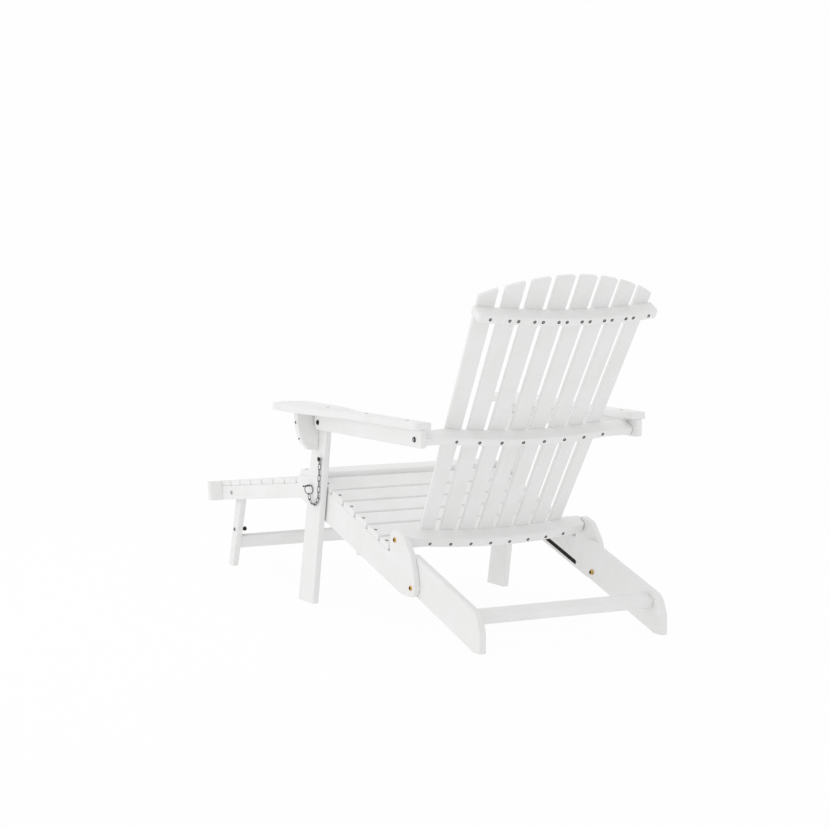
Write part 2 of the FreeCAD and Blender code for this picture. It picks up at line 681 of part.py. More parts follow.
# Arms: a shaped board on a deep rail
ARM_TOP = mm.arm_low_z + mm.arm_thickness
arm_screws = []
for sign, _ in SIDES:
    for number in range(3):
        face = at(mm.arm_screw_first_y + number * mm.arm_screw_pitch, ARM_TOP,
                  sign * (ARM_RAIL_IN + mm.arm_rail_thickness / 2))
        arm_screws.append(screw(face, Vector(0, 0, -1), mm.screw_length))
arm_screw_group = keep(compound("arm_screws", arm_screws), "arm_screws")
arm_rail_outline = [(mm.arm_rail_front_y, mm.arm_rail_low_z, mm.arm_rail_nose),
                    (ARM_REAR_Y, mm.arm_rail_low_z, mm.arm_rail_corner),
                    (ARM_REAR_Y, mm.arm_low_z),
                    (mm.arm_rail_front_y, mm.arm_low_z, mm.arm_rail_corner)]
for sign, name in SIDES:
    arm_outline = [(sign * (ARM_IN + across * mm.arm_width), ARM_FRONT_Y + along * mm.arm_length,
                    radius * mm.arm_width) for across, along, radius in ARM_SHAPE]
    arm = extruded("arm", rounded(arm_outline), axes(at(0, mm.arm_low_z), ACROSS, Vector(0, 1, 0)),
                   "arm_thickness")
    keep(cut(arm, arm_screw_group), "arm_" + name)
    arm_rail = side_board("arm_rail", arm_rail_outline, start_x(ARM_RAIL_IN, mm.arm_rail_thickness, sign),
                          "arm_rail_thickness")
    holes = [drilled("arm_hole", y, z, sign, LEG_IN, 2 * (ARM_RAIL_OUT - LEG_IN), "bolt_hole_radius")
             for y, z in ((mm.arm_bolt_y, mm.arm_bolt_z), ARM_REAR_BOLT)]
    keep(cut(arm_rail, *holes, arm_screw_group), "arm_rail_" + name)

# Front legs with corbels, pivot bolts and chain screws
leg_outline = [
    (mm.front_foot_y, 0.0),
    (mm.front_foot_y + mm.front_foot_width, 0.0),
    (mm.front_leg_top_y + mm.front_leg_top_width, mm.front_leg_height, mm.front_leg_top_round),
    (mm.front_leg_top_y, mm.front_leg_height, mm.front_leg_top_corner)]
CORBEL_LOW = mm.arm_low_z - mm.side_gap - mm.corbel_height
arm_bolts, leg_screws = [], []
for sign, _ in SIDES:
    head = at(mm.arm_bolt_y, mm.arm_bolt_z, sign * (ARM_RAIL_OUT + mm.running_gap))
    stack = ARM_RAIL_OUT + mm.running_gap - LEG_IN
    arm_bolts.append(bolt(head, ACROSS * -sign, stack + mm.nut_height + mm.bolt_end, nut_at=stack))
    for across, up in CORBEL_SCREWS:
        reach = across * mm.corbel_width
        face = at(mm.corbel_rear_y - mm.corbel_thickness / 2, CORBEL_LOW + up * mm.corbel_height,
                  sign * (LEG_OUT + reach))
        leg_screws.append(screw(face, ACROSS * -sign, reach + mm.corbel_screw_bite))
    face = at(mm.chain_anchor_y, mm.chain_anchor_z, sign * (LEG_OUT + mm.chain_anchor_proud))
    leg_screws.append(screw(face, ACROSS * -sign, mm.chain_anchor_proud + mm.chain_anchor_bite,
                            "chain_anchor_head_radius"))
arm_bolt_group = keep(compound("arm_pivot_bolts", arm_bolts), "arm_pivot_bolts")
leg_screw_group = keep(compound("leg_screws", leg_screws), "leg_screws")
for sign, name in SIDES:
    leg = side_board("front_leg", leg_outline, start_x(LEG_IN, mm.front_leg_thickness, sign),
                     "front_leg_thickness")
    pin_hole = drilled("pin_hole", mm.pin_y, mm.pin_z, sign, SEAT_OUT, 2 * mm.front_leg_thickness,
                       "pin_hole_radius")
    keep(cut(leg, pin_hole, arm_bolt_group, leg_screw_group), "front_leg_" + name)
    corbel_outline = [(sign * (LEG_OUT + across * mm.corbel_width), CORBEL_LOW + up * mm.corbel_height,
                       radius * mm.corbel_height) for across, up, radius in CORBEL_SHAPE]
    corbel_place = axes(at(mm.corbel_rear_y, 0), ACROSS, Vector(0, 0, 1))
    corbel = extruded("corbel", rounded(corbel_outline), corbel_place, "corbel_thickness")
    keep(cut(corbel, leg_screw_group), "corbel_" + name)

# Lock pins, each with a ring through its eye
RING_X = LEG_OUT + mm.pin_eye_x
for sign, name in SIDES:
    tip = at(mm.pin_y, mm.pin_z, sign * (LEG_IN + mm.running_gap))
    shank = rod("pin", tip, ACROSS * sign, mm.pin_length + mm.screw_overlap, "pin_radius")
    knob = rod("pin_head", tip + ACROSS * sign * mm.pin_length, ACROSS * sign, mm.pin_head_length,
               "pin_head_radius")
    eye_start = at(mm.pin_y - 2 * mm.pin_radius, mm.pin_z, sign * RING_X)
    eye = rod("pin_eye", eye_start, Vector(0, 1, 0), 4 * mm.pin_radius, "pin_eye_radius")
    ring = bind(feature("Part::Torus", "pin_ring"), Radius1="ring_radius", Radius2="ring_wire_radius")
    ring.Placement = turned(at(mm.pin_y, mm.pin_z - mm.ring_radius, sign * RING_X), ACROSS)
    keep(compound("lock_pin", [cut(fused("pin", [shank, knob]), eye), ring]), "lock_pin_" + name)


# Chains: long links from each chain screw down and up again to the pin's ring
def link(middle, along, normal, span):
    """One long link. span is the distance between its joints with the next links."""
    bend = mm.link_width / 2 - mm.link_wire_radius
    half = span / 2 + mm.link_wire_radius + mm.link_slack / 2 - bend
    across = normal.cross(along)
    pieces = []
    for end in (1, -1):
        turn = bind(feature("Part::Torus", "link_end"), Radius2="link_wire_radius")
        turn.Radius1 = bend
        turn.Angle3 = 180
        turn.Placement = axes(middle + along * (end * half), across * -end, along * end)
        pieces.append(turn)
        start = middle + across * (end * bend) - along * half
        pieces.append(rod("link_side", start, along, 2 * half, "link_wire_radius"))
    return fused("link", pieces)


CHAIN_X = LEG_OUT + mm.link_width / 2 + mm.side_gap
for sign, name in SIDES:
    top = Vector(mm.chain_anchor_y, mm.chain_anchor_z + mm.screw_radius, 0)
    hook = Vector(mm.pin_y, mm.pin_z - 2 * mm.ring_radius + mm.ring_wire_radius, 0)
    points = []
    for share, fall in CHAIN_SHAPE:
        x = CHAIN_X + share * (RING_X - CHAIN_X)
        points.append(at(top.x + share * (hook.x - top.x), top.y - fall * mm.chain_drop, sign * x))
    points.append(at(hook.x, hook.y, sign * RING_X))
    path = Part.BSplineCurve()
    path.interpolate(points)
    joints = path.toShape().discretize(Number=LINKS + 1)
    links = []
    for number, (first, second) in enumerate(zip(joints, joints[1:])):
        along = second - first
        span = along.Length
        along.normalize()
        flat = (ACROSS - along * along.x).normalize()
        normal = flat if number % 2 == 0 else along.cross(flat)
        links.append(link((first + second) * 0.5, along, normal, span))
    keep(compound("chain", links), "chain_" + name)

# Footrest: slats and a front board on two rails, hung on an axle that runs in the channels
axle_half = SEAT_IN + mm.channel_depth - mm.roller_play
axle = rod("axle", at(mm.axle_y, mm.axle_z, -axle_half), ACROSS, 2 * axle_half, "axle_radius")
rollers = [rod("roller", at(mm.axle_y, mm.axle_z, sign * (axle_half - mm.roller_length)), ACROSS * sign,
               mm.roller_length, "roller_radius") for sign, _ in SIDES]
keep(fused("footrest_axle", [axle] + rollers), "footrest_axle")

FOOTREST_SCREW_X = FOOTREST_OUT - mm.footrest_rail_thickness / 2
FOOTREST_UP = Vector(0, -math.sin(FOOTREST_TILT), math.cos(FOOTREST_TILT))
FOOTREST_AHEAD = Vector(0, -math.cos(FOOTREST_TILT), -math.sin(FOOTREST_TILT))
widths = [mm.footrest_first_width, mm.footrest_second_width] + [mm.footrest_slat_width] * 6
ahead = mm.footrest_rail_end - mm.footrest_front_gap
footrest_slats, footrest_screws = [], []
for width in widths:
    behind = ahead - width
    slat_outline = [footrest_yz(ahead, mm.footrest_rail_top), footrest_yz(behind, mm.footrest_rail_top),
                    footrest_yz(behind, FOOTREST_TOP), footrest_yz(ahead, FOOTREST_TOP)]
    footrest_slats.append(side_board("footrest_slat", slat_outline, -FOOTREST_OUT, "footrest_width"))
    for sign, _ in SIDES:
        face = at(*footrest_yz(0.5 * (ahead + behind), FOOTREST_TOP), sign * FOOTREST_SCREW_X)
        footrest_screws.append(screw(face, FOOTREST_UP * -1, mm.screw_length))
    ahead = behind - mm.footrest_slat_gap
front_face = mm.footrest_rail_end + mm.footrest_front_thickness
front_outline = [footrest_yz(front_face, mm.footrest_rail_low),
                 footrest_yz(mm.footrest_rail_end, mm.footrest_rail_low),
                 footrest_yz(mm.footrest_rail_end, FOOTREST_TOP), footrest_yz(front_face, FOOTREST_TOP)]
front_board = side_board("footrest_front", front_outline, -SEAT_OUT, "seat_width")
rail_rise = mm.footrest_rail_top - mm.footrest_rail_low
for sign, _ in SIDES:
    for share in (0.22, 0.78):
        place = footrest_yz(front_face, mm.footrest_rail_low + share * rail_rise)
        face = at(*place, sign * FOOTREST_SCREW_X)
        footrest_screws.append(screw(face, FOOTREST_AHEAD * -1, mm.screw_length))
footrest_screw_group = keep(compound("footrest_screws", footrest_screws), "footrest_screws")

FOOTREST_PIVOT = footrest_yz(mm.footrest_pivot_a, mm.footrest_pivot_b)
footrest_rail_outline = [
    footrest_yz(mm.footrest_rail_back, mm.footrest_rail_low) + (mm.footrest_low_round,),
    footrest_yz(mm.footrest_rail_end, mm.footrest_rail_low),
    footrest_yz(mm.footrest_rail_end, mm.footrest_rail_top),
    footrest_yz(mm.footrest_rail_back, mm.footrest_rail_top) + (mm.footrest_top_round,)]
for sign, name in SIDES:
    footrest_rail = side_board("footrest_rail", footrest_rail_outline,
                               start_x(FOOTREST_IN, mm.footrest_rail_thickness, sign),
                               "footrest_rail_thickness")
    hole_length = mm.footrest_leg_gap + 2 * mm.footrest_rail_thickness
    axle_hole = drilled("axle_hole", mm.axle_y, mm.axle_z, sign, FOOTREST_LEG_OUT, hole_length,
                        "axle_hole_radius")
    leg_hole = drilled("leg_hole", *FOOTREST_PIVOT, sign, FOOTREST_LEG_OUT, hole_length, "bolt_hole_radius")
    keep(cut(footrest_rail, axle_hole, leg_hole, footrest_screw_group), "footrest_rail_" + name)
keep(cut(front_board, footrest_screw_group), "footrest_front")
for number, slat in enumerate(footrest_slats, start=1):
    keep(cut(slat, footrest_screw_group), "footrest_slat_%d" % number)

# Footrest legs, hung between the rails and joined by a bar
leg_run = mm.footrest_leg_foot_y - FOOTREST_PIVOT[0]
leg_length = math.hypot(leg_run, FOOTREST_PIVOT[1])
LEG_DOWN = (leg_run / leg_length, -FOOTREST_PIVOT[1] / leg_length)


def footrest_leg_yz(a, b):
    """A point of the footrest's leg: a runs down from its pivot, b is square to it."""
    return (FOOTREST_PIVOT[0] + LEG_DOWN[0] * a - LEG_DOWN[1] * b,
            FOOTREST_PIVOT[1] + LEG_DOWN[1] * a + LEG_DOWN[0] * b)


def footrest_sole(b):
    """Where a long edge of the footrest's leg meets the floor."""
    y, z = footrest_leg_yz(0, b)
    return (y - LEG_DOWN[0] * z / LEG_DOWN[1], 0.0)


head, sole = mm.footrest_leg_head, mm.footrest_leg_foot_width / 2
footrest_leg_outline = [footrest_leg_yz(-head, head) + (mm.footrest_leg_round,),
                        footrest_leg_yz(-head, -head) + (mm.footrest_leg_round,),
                        footrest_sole(-sole), footrest_sole(sole)]
footrest_bolts = []
for sign, _ in SIDES:
    seat = at(*FOOTREST_PIVOT, sign * (FOOTREST_OUT + mm.running_gap))
    footrest_bolts.append(bolt(seat, ACROSS * -sign, FOOTREST_OUT - FOOTREST_LEG_IN - mm.bolt_end))
    seat = at(*footrest_leg_yz(mm.footrest_stud_a, 0), sign * FOOTREST_LEG_OUT)
    stack = mm.footrest_leg_thickness
    footrest_bolts.append(bolt(seat, ACROSS * -sign, stack + mm.nut_height + mm.bolt_end, nut_at=stack))
footrest_bolt_group = keep(compound("footrest_leg_bolts", footrest_bolts), "footrest_leg_bolts")
for sign, name in SIDES:
    leg = side_board("footrest_leg", footrest_leg_outline,
                     start_x(FOOTREST_LEG_IN, mm.footrest_leg_thickness, sign), "footrest_leg_thickness")
    keep(cut(leg, footrest_bolt_group), "footrest_leg_" + name)
bar_end = mm.footrest_bar_a + mm.footrest_bar_width
bar_half = mm.footrest_bar_thickness / 2
bar_outline = [footrest_leg_yz(mm.footrest_bar_a, bar_half), footrest_leg_yz(mm.footrest_bar_a, -bar_half),
               footrest_leg_yz(bar_end, -bar_half), footrest_leg_yz(bar_end, bar_half)]
leg_bar = side_board("footrest_leg_bar", bar_outline, -FOOTREST_LEG_IN, "footrest_bar_length")
keep(leg_bar, "footrest_leg_bar")

# Checks, then one file for each part
doc.recompute()
faults = [obj.Label for obj in doc.Objects if "Invalid" in obj.State or "Error" in obj.State]
faults += [obj.Label for obj in nodes if obj.Shape.isNull() or not obj.Shape.isValid()]
if faults:
    raise RuntimeError("could not build " + ", ".join(faults))
if len(nodes) != len({obj.Label for obj in nodes}):
    raise RuntimeError("two parts have the same label")
os.makedirs("parts", exist_ok=True)
for obj in nodes:
    obj.Shape.exportStep("parts/%s.step" % obj.Label)
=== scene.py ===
"""Looks of a white folding lounge chair with a slide-out footrest, dressed over its CAD frame."""

import json
import math

import bmesh
import bpy
import numpy as np
from bpy.props import FloatProperty, FloatVectorProperty, IntProperty, PointerProperty
from mathutils import Matrix, Vector


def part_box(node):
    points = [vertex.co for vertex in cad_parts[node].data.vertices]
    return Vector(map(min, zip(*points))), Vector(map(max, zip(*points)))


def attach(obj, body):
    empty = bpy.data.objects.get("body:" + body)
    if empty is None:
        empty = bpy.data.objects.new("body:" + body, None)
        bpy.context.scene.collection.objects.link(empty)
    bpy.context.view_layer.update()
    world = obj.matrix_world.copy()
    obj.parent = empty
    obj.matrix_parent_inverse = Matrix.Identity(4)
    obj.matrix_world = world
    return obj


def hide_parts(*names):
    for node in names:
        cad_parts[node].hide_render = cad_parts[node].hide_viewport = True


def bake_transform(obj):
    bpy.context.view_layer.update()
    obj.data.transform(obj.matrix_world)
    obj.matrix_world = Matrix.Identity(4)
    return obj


bl_info = {
    "name": "Folding lounge chair",
    "version": (1, 0, 0),
    "blender": (4, 5, 0),
    "location": "View3D > Sidebar > Lounge chair",
    "description": "Dresses the packed lounge chair with eased boards, hardware, paint and a studio",
    "category": "Object",
}

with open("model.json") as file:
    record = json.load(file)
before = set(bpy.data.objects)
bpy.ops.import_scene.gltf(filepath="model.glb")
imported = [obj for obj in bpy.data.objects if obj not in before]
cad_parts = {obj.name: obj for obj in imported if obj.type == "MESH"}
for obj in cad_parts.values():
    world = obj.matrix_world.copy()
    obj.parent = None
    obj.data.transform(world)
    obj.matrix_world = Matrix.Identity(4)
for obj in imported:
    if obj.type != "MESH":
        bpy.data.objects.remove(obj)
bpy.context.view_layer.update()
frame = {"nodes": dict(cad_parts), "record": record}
NODES = frame["nodes"]
BODIES = frame["record"]["behaviour"]["bodies"]
BODY_OF = {node: body for body, members in BODIES.items() for node in members}
SIDES = ("left", "right")
MM = 0.001

# Corners closer together than this are one corner.
WELD = 0.02 * MM
# A turn in an outline that is sharper than this is a corner, and gets eased.
SHARP_CORNER = math.radians(32)
# Faces that meet at a larger angle than this are not shaded as one round surface.
HARD_EDGE = math.radians(35)


def linear(code):
    """Linear colour of an sRGB hex value."""
    channels = [int(code[i:i + 2], 16) / 255 for i in (1, 3, 5)]
    return [c / 12.92 if c <= 0.04045 else ((c + 0.055) / 1.055) ** 2.4 for c in channels]


# Settings


class PaintSettings(bpy.types.PropertyGroup):
    """Paint and the easing of the boards."""

    colour: FloatVectorProperty(
        name="Paint", description="Colour of the white enamel",
        subtype="COLOR", size=3, default=linear("#F0F0F0"))
    shade: FloatVectorProperty(
        name="Grain shade", description="Colour in the open grain",
        subtype="COLOR", size=3, default=linear("#E5E4E1"))
    edge: FloatProperty(
        name="Edge", description="Radius to which the long edges are eased",
        unit="LENGTH", default=2.0 * MM)
    corner: FloatProperty(
        name="Corner", description="Radius to which the sawn corners are eased",
        unit="LENGTH", default=3.6 * MM)
    slat_corner: FloatProperty(
        name="Seat slat corner", description="Radius of the seat slats' long edges",
        unit="LENGTH", default=6.0 * MM)
    slat_narrow: FloatProperty(
        name="Seat slat planing", description="Planed off each edge of the seat slats",
        unit="LENGTH", default=2.0 * MM)
    clearance: FloatProperty(
        name="Clearance", description="Extra gap between the front legs and the seat boards",
        unit="LENGTH", default=3.0 * MM)
    grain_width: FloatProperty(
        name="Grain width", description="Distance between grain lines",
        unit="LENGTH", default=3.2 * MM)
    grain_length: FloatProperty(
        name="Grain length", description="Length of one grain line",
        unit="LENGTH", default=130 * MM)
    mottle: FloatProperty(
        name="Mottle", description="Size of the patches of thicker and thinner paint",
        unit="LENGTH", default=85 * MM)


class HardwareSettings(bpy.types.PropertyGroup):
    """Screws, bolts, chain and pins."""

    screw_colour: FloatVectorProperty(
        name="Screws", description="Blackened steel",
        subtype="COLOR", size=3, default=linear("#1B1A19"))
    bolt_colour: FloatVectorProperty(
        name="Bolts", description="Yellow zinc plating",
        subtype="COLOR", size=3, default=linear("#E3BE74"))
    # The steel's dark grey is a painted reflection: it stands for the dark surroundings that bright zinc wire
    # and pins reflect.
    steel_colour: FloatVectorProperty(
        name="Steel", description="Dull zinc plating",
        subtype="COLOR", size=3, default=linear("#77787A"))
    bright_colour: FloatVectorProperty(
        name="Bright bolts", description="Fresh zinc plating",
        subtype="COLOR", size=3, default=linear("#D8D9D9"))
    channel_colour: FloatVectorProperty(
        name="Channel", description="Dark nylon lining",
        subtype="COLOR", size=3, default=linear("#2A2725"))
    screw_radius: FloatProperty(
        name="Screw heads", description="Radius of a wood screw's head",
        unit="LENGTH", default=4.3 * MM)
    screw_height: FloatProperty(
        name="Screw depth", description="Height of a countersunk screw head",
        unit="LENGTH", default=2.2 * MM)
    recess_width: FloatProperty(
        name="Cross width", description="Width of the cross recess's arms",
        unit="LENGTH", default=1.1 * MM)
    recess_depth: FloatProperty(
        name="Cross depth", description="Depth of the cross recess",
        unit="LENGTH", default=0.9 * MM)
    bolt_height: FloatProperty(
        name="Bolt heads", description="Height of a flat bolt head",
        unit="LENGTH", default=2.8 * MM)
    socket_width: FloatProperty(
        name="Socket", description="Hexagon socket, across its corners",
        unit="LENGTH", default=9.6 * MM)
    socket_depth: FloatProperty(
        name="Socket depth", description="Depth of the hexagon socket",
        unit="LENGTH", default=2.2 * MM)
    stud_reach: FloatProperty(
        name="Stud reach", description="How far the nuts of the footrest legs' studs stand off the legs",
        unit="LENGTH", default=11.0 * MM)
    ring_swing: FloatProperty(
        name="Ring swing", description="How far the pins' rings turn towards the back",
        subtype="ANGLE", default=math.radians(32))
    ring_size: FloatProperty(
        name="Ring size", description="Size of the pins' rings against the CAD rings", default=1.12)
    pin_slim: FloatProperty(
        name="Pin shank", description="Thickness of the pins' shanks against the CAD pins", default=0.6)
    segments: IntProperty(
        name="Segments", description="Sides of a round head", default=28, min=8, max=64)


class StageSettings(bpy.types.PropertyGroup):
    """Floor, lamps and camera."""

    floor_colour: FloatVectorProperty(
        name="Floor", description="Pale studio floor",
        subtype="COLOR", size=3, default=linear("#FBFBFB"))
    floor_seen: FloatProperty(
        name="Floor seen", description="Share of plain white in the floor as the camera sees it",
        subtype="FACTOR", default=0.94)
    floor_glow: FloatProperty(
        name="Floor glow", description="Share of plain white in the floor as a lit sweep",
        subtype="FACTOR", default=0.55)
    ambient: FloatProperty(
        name="Ambient", description="Strength of the light from all round", default=0.83)
    backdrop: FloatProperty(
        name="Backdrop", description="Strength of the backdrop as the camera sees it", default=0.99)
    top_power: FloatProperty(
        name="Top lamp", description="Power of the overhead softbox", unit="POWER", default=14.0)
    top_size: FloatProperty(
        name="Top size", description="Side of the overhead softbox", unit="LENGTH", default=4.0)
    top_place: FloatVectorProperty(
        name="Top place", description="Where the overhead softbox hangs",
        subtype="TRANSLATION", size=3, default=(0.3, -0.4, 3.4))
    side_power: FloatProperty(
        name="Side lamp", description="Power of the softbox at the sitter's left", unit="POWER", default=16.0)
    side_size: FloatProperty(
        name="Side size", description="Side of the softbox at the sitter's left", unit="LENGTH", default=2.6)
    side_place: FloatVectorProperty(
        name="Side place", description="Where the softbox at the sitter's left stands",
        subtype="TRANSLATION", size=3, default=(3.6, -0.6, 1.3))
    lamp_target: FloatVectorProperty(
        name="Lamp target", description="Point the softboxes face",
        subtype="TRANSLATION", size=3, default=(0.0, 0.1, 0.35))
    azimuth: FloatProperty(
        name="Azimuth", description="Where the camera stands round the chair",
        subtype="ANGLE", default=math.radians(151.0))
    elevation: FloatProperty(
        name="Elevation", description="Height of the camera above the horizon",
        subtype="ANGLE", default=math.radians(6.08))
    distance: FloatProperty(
        name="Distance", description="From the camera to the point it looks at",
        unit="LENGTH", default=6.2224)
    target: FloatVectorProperty(
        name="Target", description="Point the camera looks at",
        subtype="TRANSLATION", size=3, default=(0.0, 0.166259, 0.4))
    lens: FloatProperty(
        name="Lens", description="Focal length on a sensor 36 mm wide", unit="CAMERA", default=99.92)
    shift: FloatVectorProperty(
        name="Shift", description="Framing of the picture", size=2, default=(-0.0424, 0.0557))


# Nodes and objects


def add(tree, kind, inputs=None, **settings):
    """Adds a node with its settings. An input is given a value, or a socket to link from."""
    node = tree.nodes.new(kind)
    for name, value in settings.items():
        setattr(node, name, value)
    for name, value in (inputs or {}).items():
        if isinstance(value, bpy.types.NodeSocket):
            tree.links.new(value, node.inputs[name])
        else:
            node.inputs[name].default_value = value
    return node


def empty_tree(owner):
    """The node tree of a material or a world, cleared."""
    owner.use_nodes = True
    owner.node_tree.nodes.clear()
    return owner.node_tree


def made_once(collection, maker):
    """A finish or a geometry tree that bears its maker's name, made the first time it is asked for."""
    found = collection.get(maker.__name__)
    if found is None:
        found = maker()
        found.name = maker.__name__
    return found


def finish(maker):
    """A maker's material."""
    return made_once(bpy.data.materials, maker)


def stand(name, data):
    """A new object in the scene, at the origin."""
    piece = bpy.data.objects.new(name, data)
    bpy.context.scene.collection.objects.link(piece)
    return piece


# Materials


def new_material():
    """A material with a shader: itself, its node tree and the shader."""
    material = bpy.data.materials.new("finish")
    tree = empty_tree(material)
    shader = add(tree, "ShaderNodeBsdfPrincipled")
    add(tree, "ShaderNodeOutputMaterial", {"Surface": shader.outputs["BSDF"]})
    return material, tree, shader


def satin_white_enamel():
    """Satin enamel sprayed on planed hardwood: clean white, with the grain just showing through as fine
    long ridges, and faint patches where the coat is thicker."""
    paint = bpy.context.scene.lounge_paint
    material, tree, shader = new_material()
    grain = add(tree, "ShaderNodeAttribute", attribute_name="grain")
    along = add(tree, "ShaderNodeMapping", {
        "Vector": grain.outputs["Vector"],
        "Scale": (1 / paint.grain_length, 1 / paint.grain_width, 1 / paint.grain_width)})
    lines = add(tree, "ShaderNodeTexNoise", {
        "Vector": along.outputs["Vector"], "Scale": 1.0, "Detail": 4.0,
        "Roughness": 0.62, "Distortion": 0.35})
    pores = add(tree, "ShaderNodeMapRange", {
        "Value": lines.outputs["Fac"], "From Min": 0.56, "From Max": 0.74, "To Min": 0.0, "To Max": 0.3})
    patches = add(tree, "ShaderNodeTexNoise", {
        "Vector": grain.outputs["Vector"], "Scale": 1 / paint.mottle, "Detail": 2.0})
    thick = add(tree, "ShaderNodeMapRange", {
        "Value": patches.outputs["Fac"], "From Min": 0.3, "From Max": 0.7, "To Min": 0.0, "To Max": 0.3})
    tint = add(tree, "ShaderNodeMath", {
        0: pores.outputs["Result"], 1: thick.outputs["Result"]}, operation="ADD")
    colour = add(tree, "ShaderNodeMix", {
        "Factor": tint.outputs["Value"], "A": (*paint.colour, 1), "B": (*paint.shade, 1)}, data_type="RGBA")
    tree.links.new(colour.outputs[2], shader.inputs["Base Color"])
    gloss = add(tree, "ShaderNodeMapRange", {
        "Value": patches.outputs["Fac"], "From Min": 0.3, "From Max": 0.7, "To Min": 0.48, "To Max": 0.6})
    tree.links.new(gloss.outputs["Result"], shader.inputs["Roughness"])
    ridge = add(tree, "ShaderNodeBump", {
        "Height": lines.outputs["Fac"], "Strength": 0.1, "Distance": 0.25 * MM})
    tree.links.new(ridge.outputs["Normal"], shader.inputs["Normal"])
    shader.inputs["Specular IOR Level"].default_value = 0.35
    return material


def black_oxide_steel():
    """Black oxide on steel screws: near black, half matt, a little brown where it is rubbed."""
    colour = bpy.context.scene.lounge_hardware.screw_colour
    return plated_metal(colour, "#4A4038", roughness=0.42, metallic=0.85)


def yellow_zinc_plate():
    """Yellow zinc plating on bolts: dull gold with a rosy bloom."""
    colour = bpy.context.scene.lounge_hardware.bolt_colour
    return plated_metal(colour, "#C79A52", roughness=0.3, metallic=1.0)


def bright_zinc_plate():
    """Fresh zinc plating on bolts: pale grey."""
    colour = bpy.context.scene.lounge_hardware.bright_colour
    return plated_metal(colour, "#BFC1C2", roughness=0.32, metallic=1.0)


def zinc_plate():
    """Zinc plating on wire, pins and rod: grey, with a cloudy bloom. The grey is painted dark for the dark
    reflections that the thin bright metal shows: a painted reflection.
    """
    colour = bpy.context.scene.lounge_hardware.steel_colour
    return plated_metal(colour, "#55575A", roughness=0.3, metallic=1.0)


def plated_metal(colour, bloom, roughness, metallic):
    """A plated metal whose colour and gloss cloud over in patches."""
    patch = 4 * MM
    material, tree, shader = new_material()
    coords = add(tree, "ShaderNodeTexCoord")
    cloud = add(tree, "ShaderNodeTexNoise", {
        "Vector": coords.outputs["Object"], "Scale": 1 / patch, "Detail": 3.0})
    mixed = add(tree, "ShaderNodeMix", {
        "Factor": cloud.outputs["Fac"], "A": (*colour, 1), "B": (*linear(bloom), 1)}, data_type="RGBA")
    tree.links.new(mixed.outputs[2], shader.inputs["Base Color"])
    gloss = add(tree, "ShaderNodeMapRange", {
        "Value": cloud.outputs["Fac"], "To Min": roughness - 0.08, "To Max": roughness + 0.12})
    tree.links.new(gloss.outputs["Result"], shader.inputs["Roughness"])
    shader.inputs["Metallic"].default_value = metallic
    return material


def dark_nylon():
    """Extruded nylon channel: matt, almost black, with draw lines along it. The lines are drawn wider than
    real ones, so that they show."""
    line_width, line_length = 1.1 * MM, 25 * MM
    colour = bpy.context.scene.lounge_hardware.channel_colour
    material, tree, shader = new_material()
    coords = add(tree, "ShaderNodeTexCoord")
    drawn = add(tree, "ShaderNodeMapping", {
        "Vector": coords.outputs["Object"], "Scale": (1 / line_width, 1 / line_length, 1 / line_width)})
    lines = add(tree, "ShaderNodeTexNoise", {"Vector": drawn.outputs["Vector"], "Scale": 1.0})
    tone = add(tree, "ShaderNodeMix", {
        "Factor": lines.outputs["Fac"], "A": (*colour, 1), "B": (*linear("#3A3633"), 1)}, data_type="RGBA")
    tree.links.new(tone.outputs[2], shader.inputs["Base Color"])
    shader.inputs["Roughness"].default_value = 0.6
    return material


# Shapes read from the frame


def welded(node):
    """The node's triangles as one welded mesh."""
    bm = bmesh.new()
    bm.from_mesh(NODES[node].data)
    bmesh.ops.remove_doubles(bm, verts=bm.verts, dist=WELD)
    bm.normal_update()
    return bm


def islands(bm):
    """The faces of each separate solid, in the same order each time."""
    known = set()
    found = []
    for first in bm.faces:
        if first in known:
            continue
        known.add(first)
        solid = [first]
        # The list grows while it is walked, until no face has a new neighbour.
        for face in solid:
            for other in [f for edge in face.edges for f in edge.link_faces]:
                if other not in known:
                    known.add(other)
                    solid.append(other)
        found.append(solid)
    return found


def verts_of(faces):
    """The corners of some faces, each one once and in the same order each time."""
    return list(dict.fromkeys(vert for face in faces for vert in face.verts))


def corners_of(faces):
    """The corner points of some faces, as an array."""
    return np.array([vert.co for vert in verts_of(faces)], float)


def widest_side(faces):
    """The direction that most of the flat area looks along, and the middle of that area."""
    sides = {}
    for face in faces:
        sides.setdefault(tuple(round(c, 2) + 0.0 for c in face.normal), []).append(face)
    area = {key: sum(face.calc_area() for face in side) for key, side in sides.items()}
    best = max(area, key=area.get)
    axis = sum((face.normal * face.calc_area() for face in sides[best]), Vector()).normalized()
    centre = sum((face.calc_center_median() * face.calc_area() for face in sides[best]), Vector())
    return axis, centre / area[best]


def spread(points):
    """Middle, axes from the longest to the shortest, and extents along them."""
    middle = 0.5 * (points.max(0) + points.min(0))
    axes = np.linalg.svd(points - points.mean(0), full_matrices=False)[2]
    along = (points - middle) @ axes.T
    low, high = along.min(0), along.max(0)
    return middle + (0.5 * (low + high)) @ axes, axes, high - low


def girth(ring):
    """Length round a closed outline."""
    return sum((a - b).length for a, b in zip(ring, ring[1:] + ring[:1]))


def outline(bm, axis):
    """The longest border of the flat faces at the far end of axis."""
    level, near = 0.999, 0.1 * MM
    top = max(v.co.dot(axis) for v in bm.verts)
    caps = [f for f in bm.faces
            if f.normal.dot(axis) > level and f.calc_center_median().dot(axis) > top - near]
    inside = set(caps)
    after = {}
    for face in caps:
        for loop in face.loops:
            if not any(f in inside for f in loop.edge.link_faces if f != face):
                after.setdefault(loop.vert, []).append(loop.link_loop_next.vert)
    rings = []
    while after:
        vert = next(iter(after))
        ring = []
        while vert in after:
            ring.append(vert.co.copy())
            following = after[vert].pop()
            if not after[vert]:
                del after[vert]
            vert = following
        rings.append(ring)
    return max(rings, key=girth)


# Boards

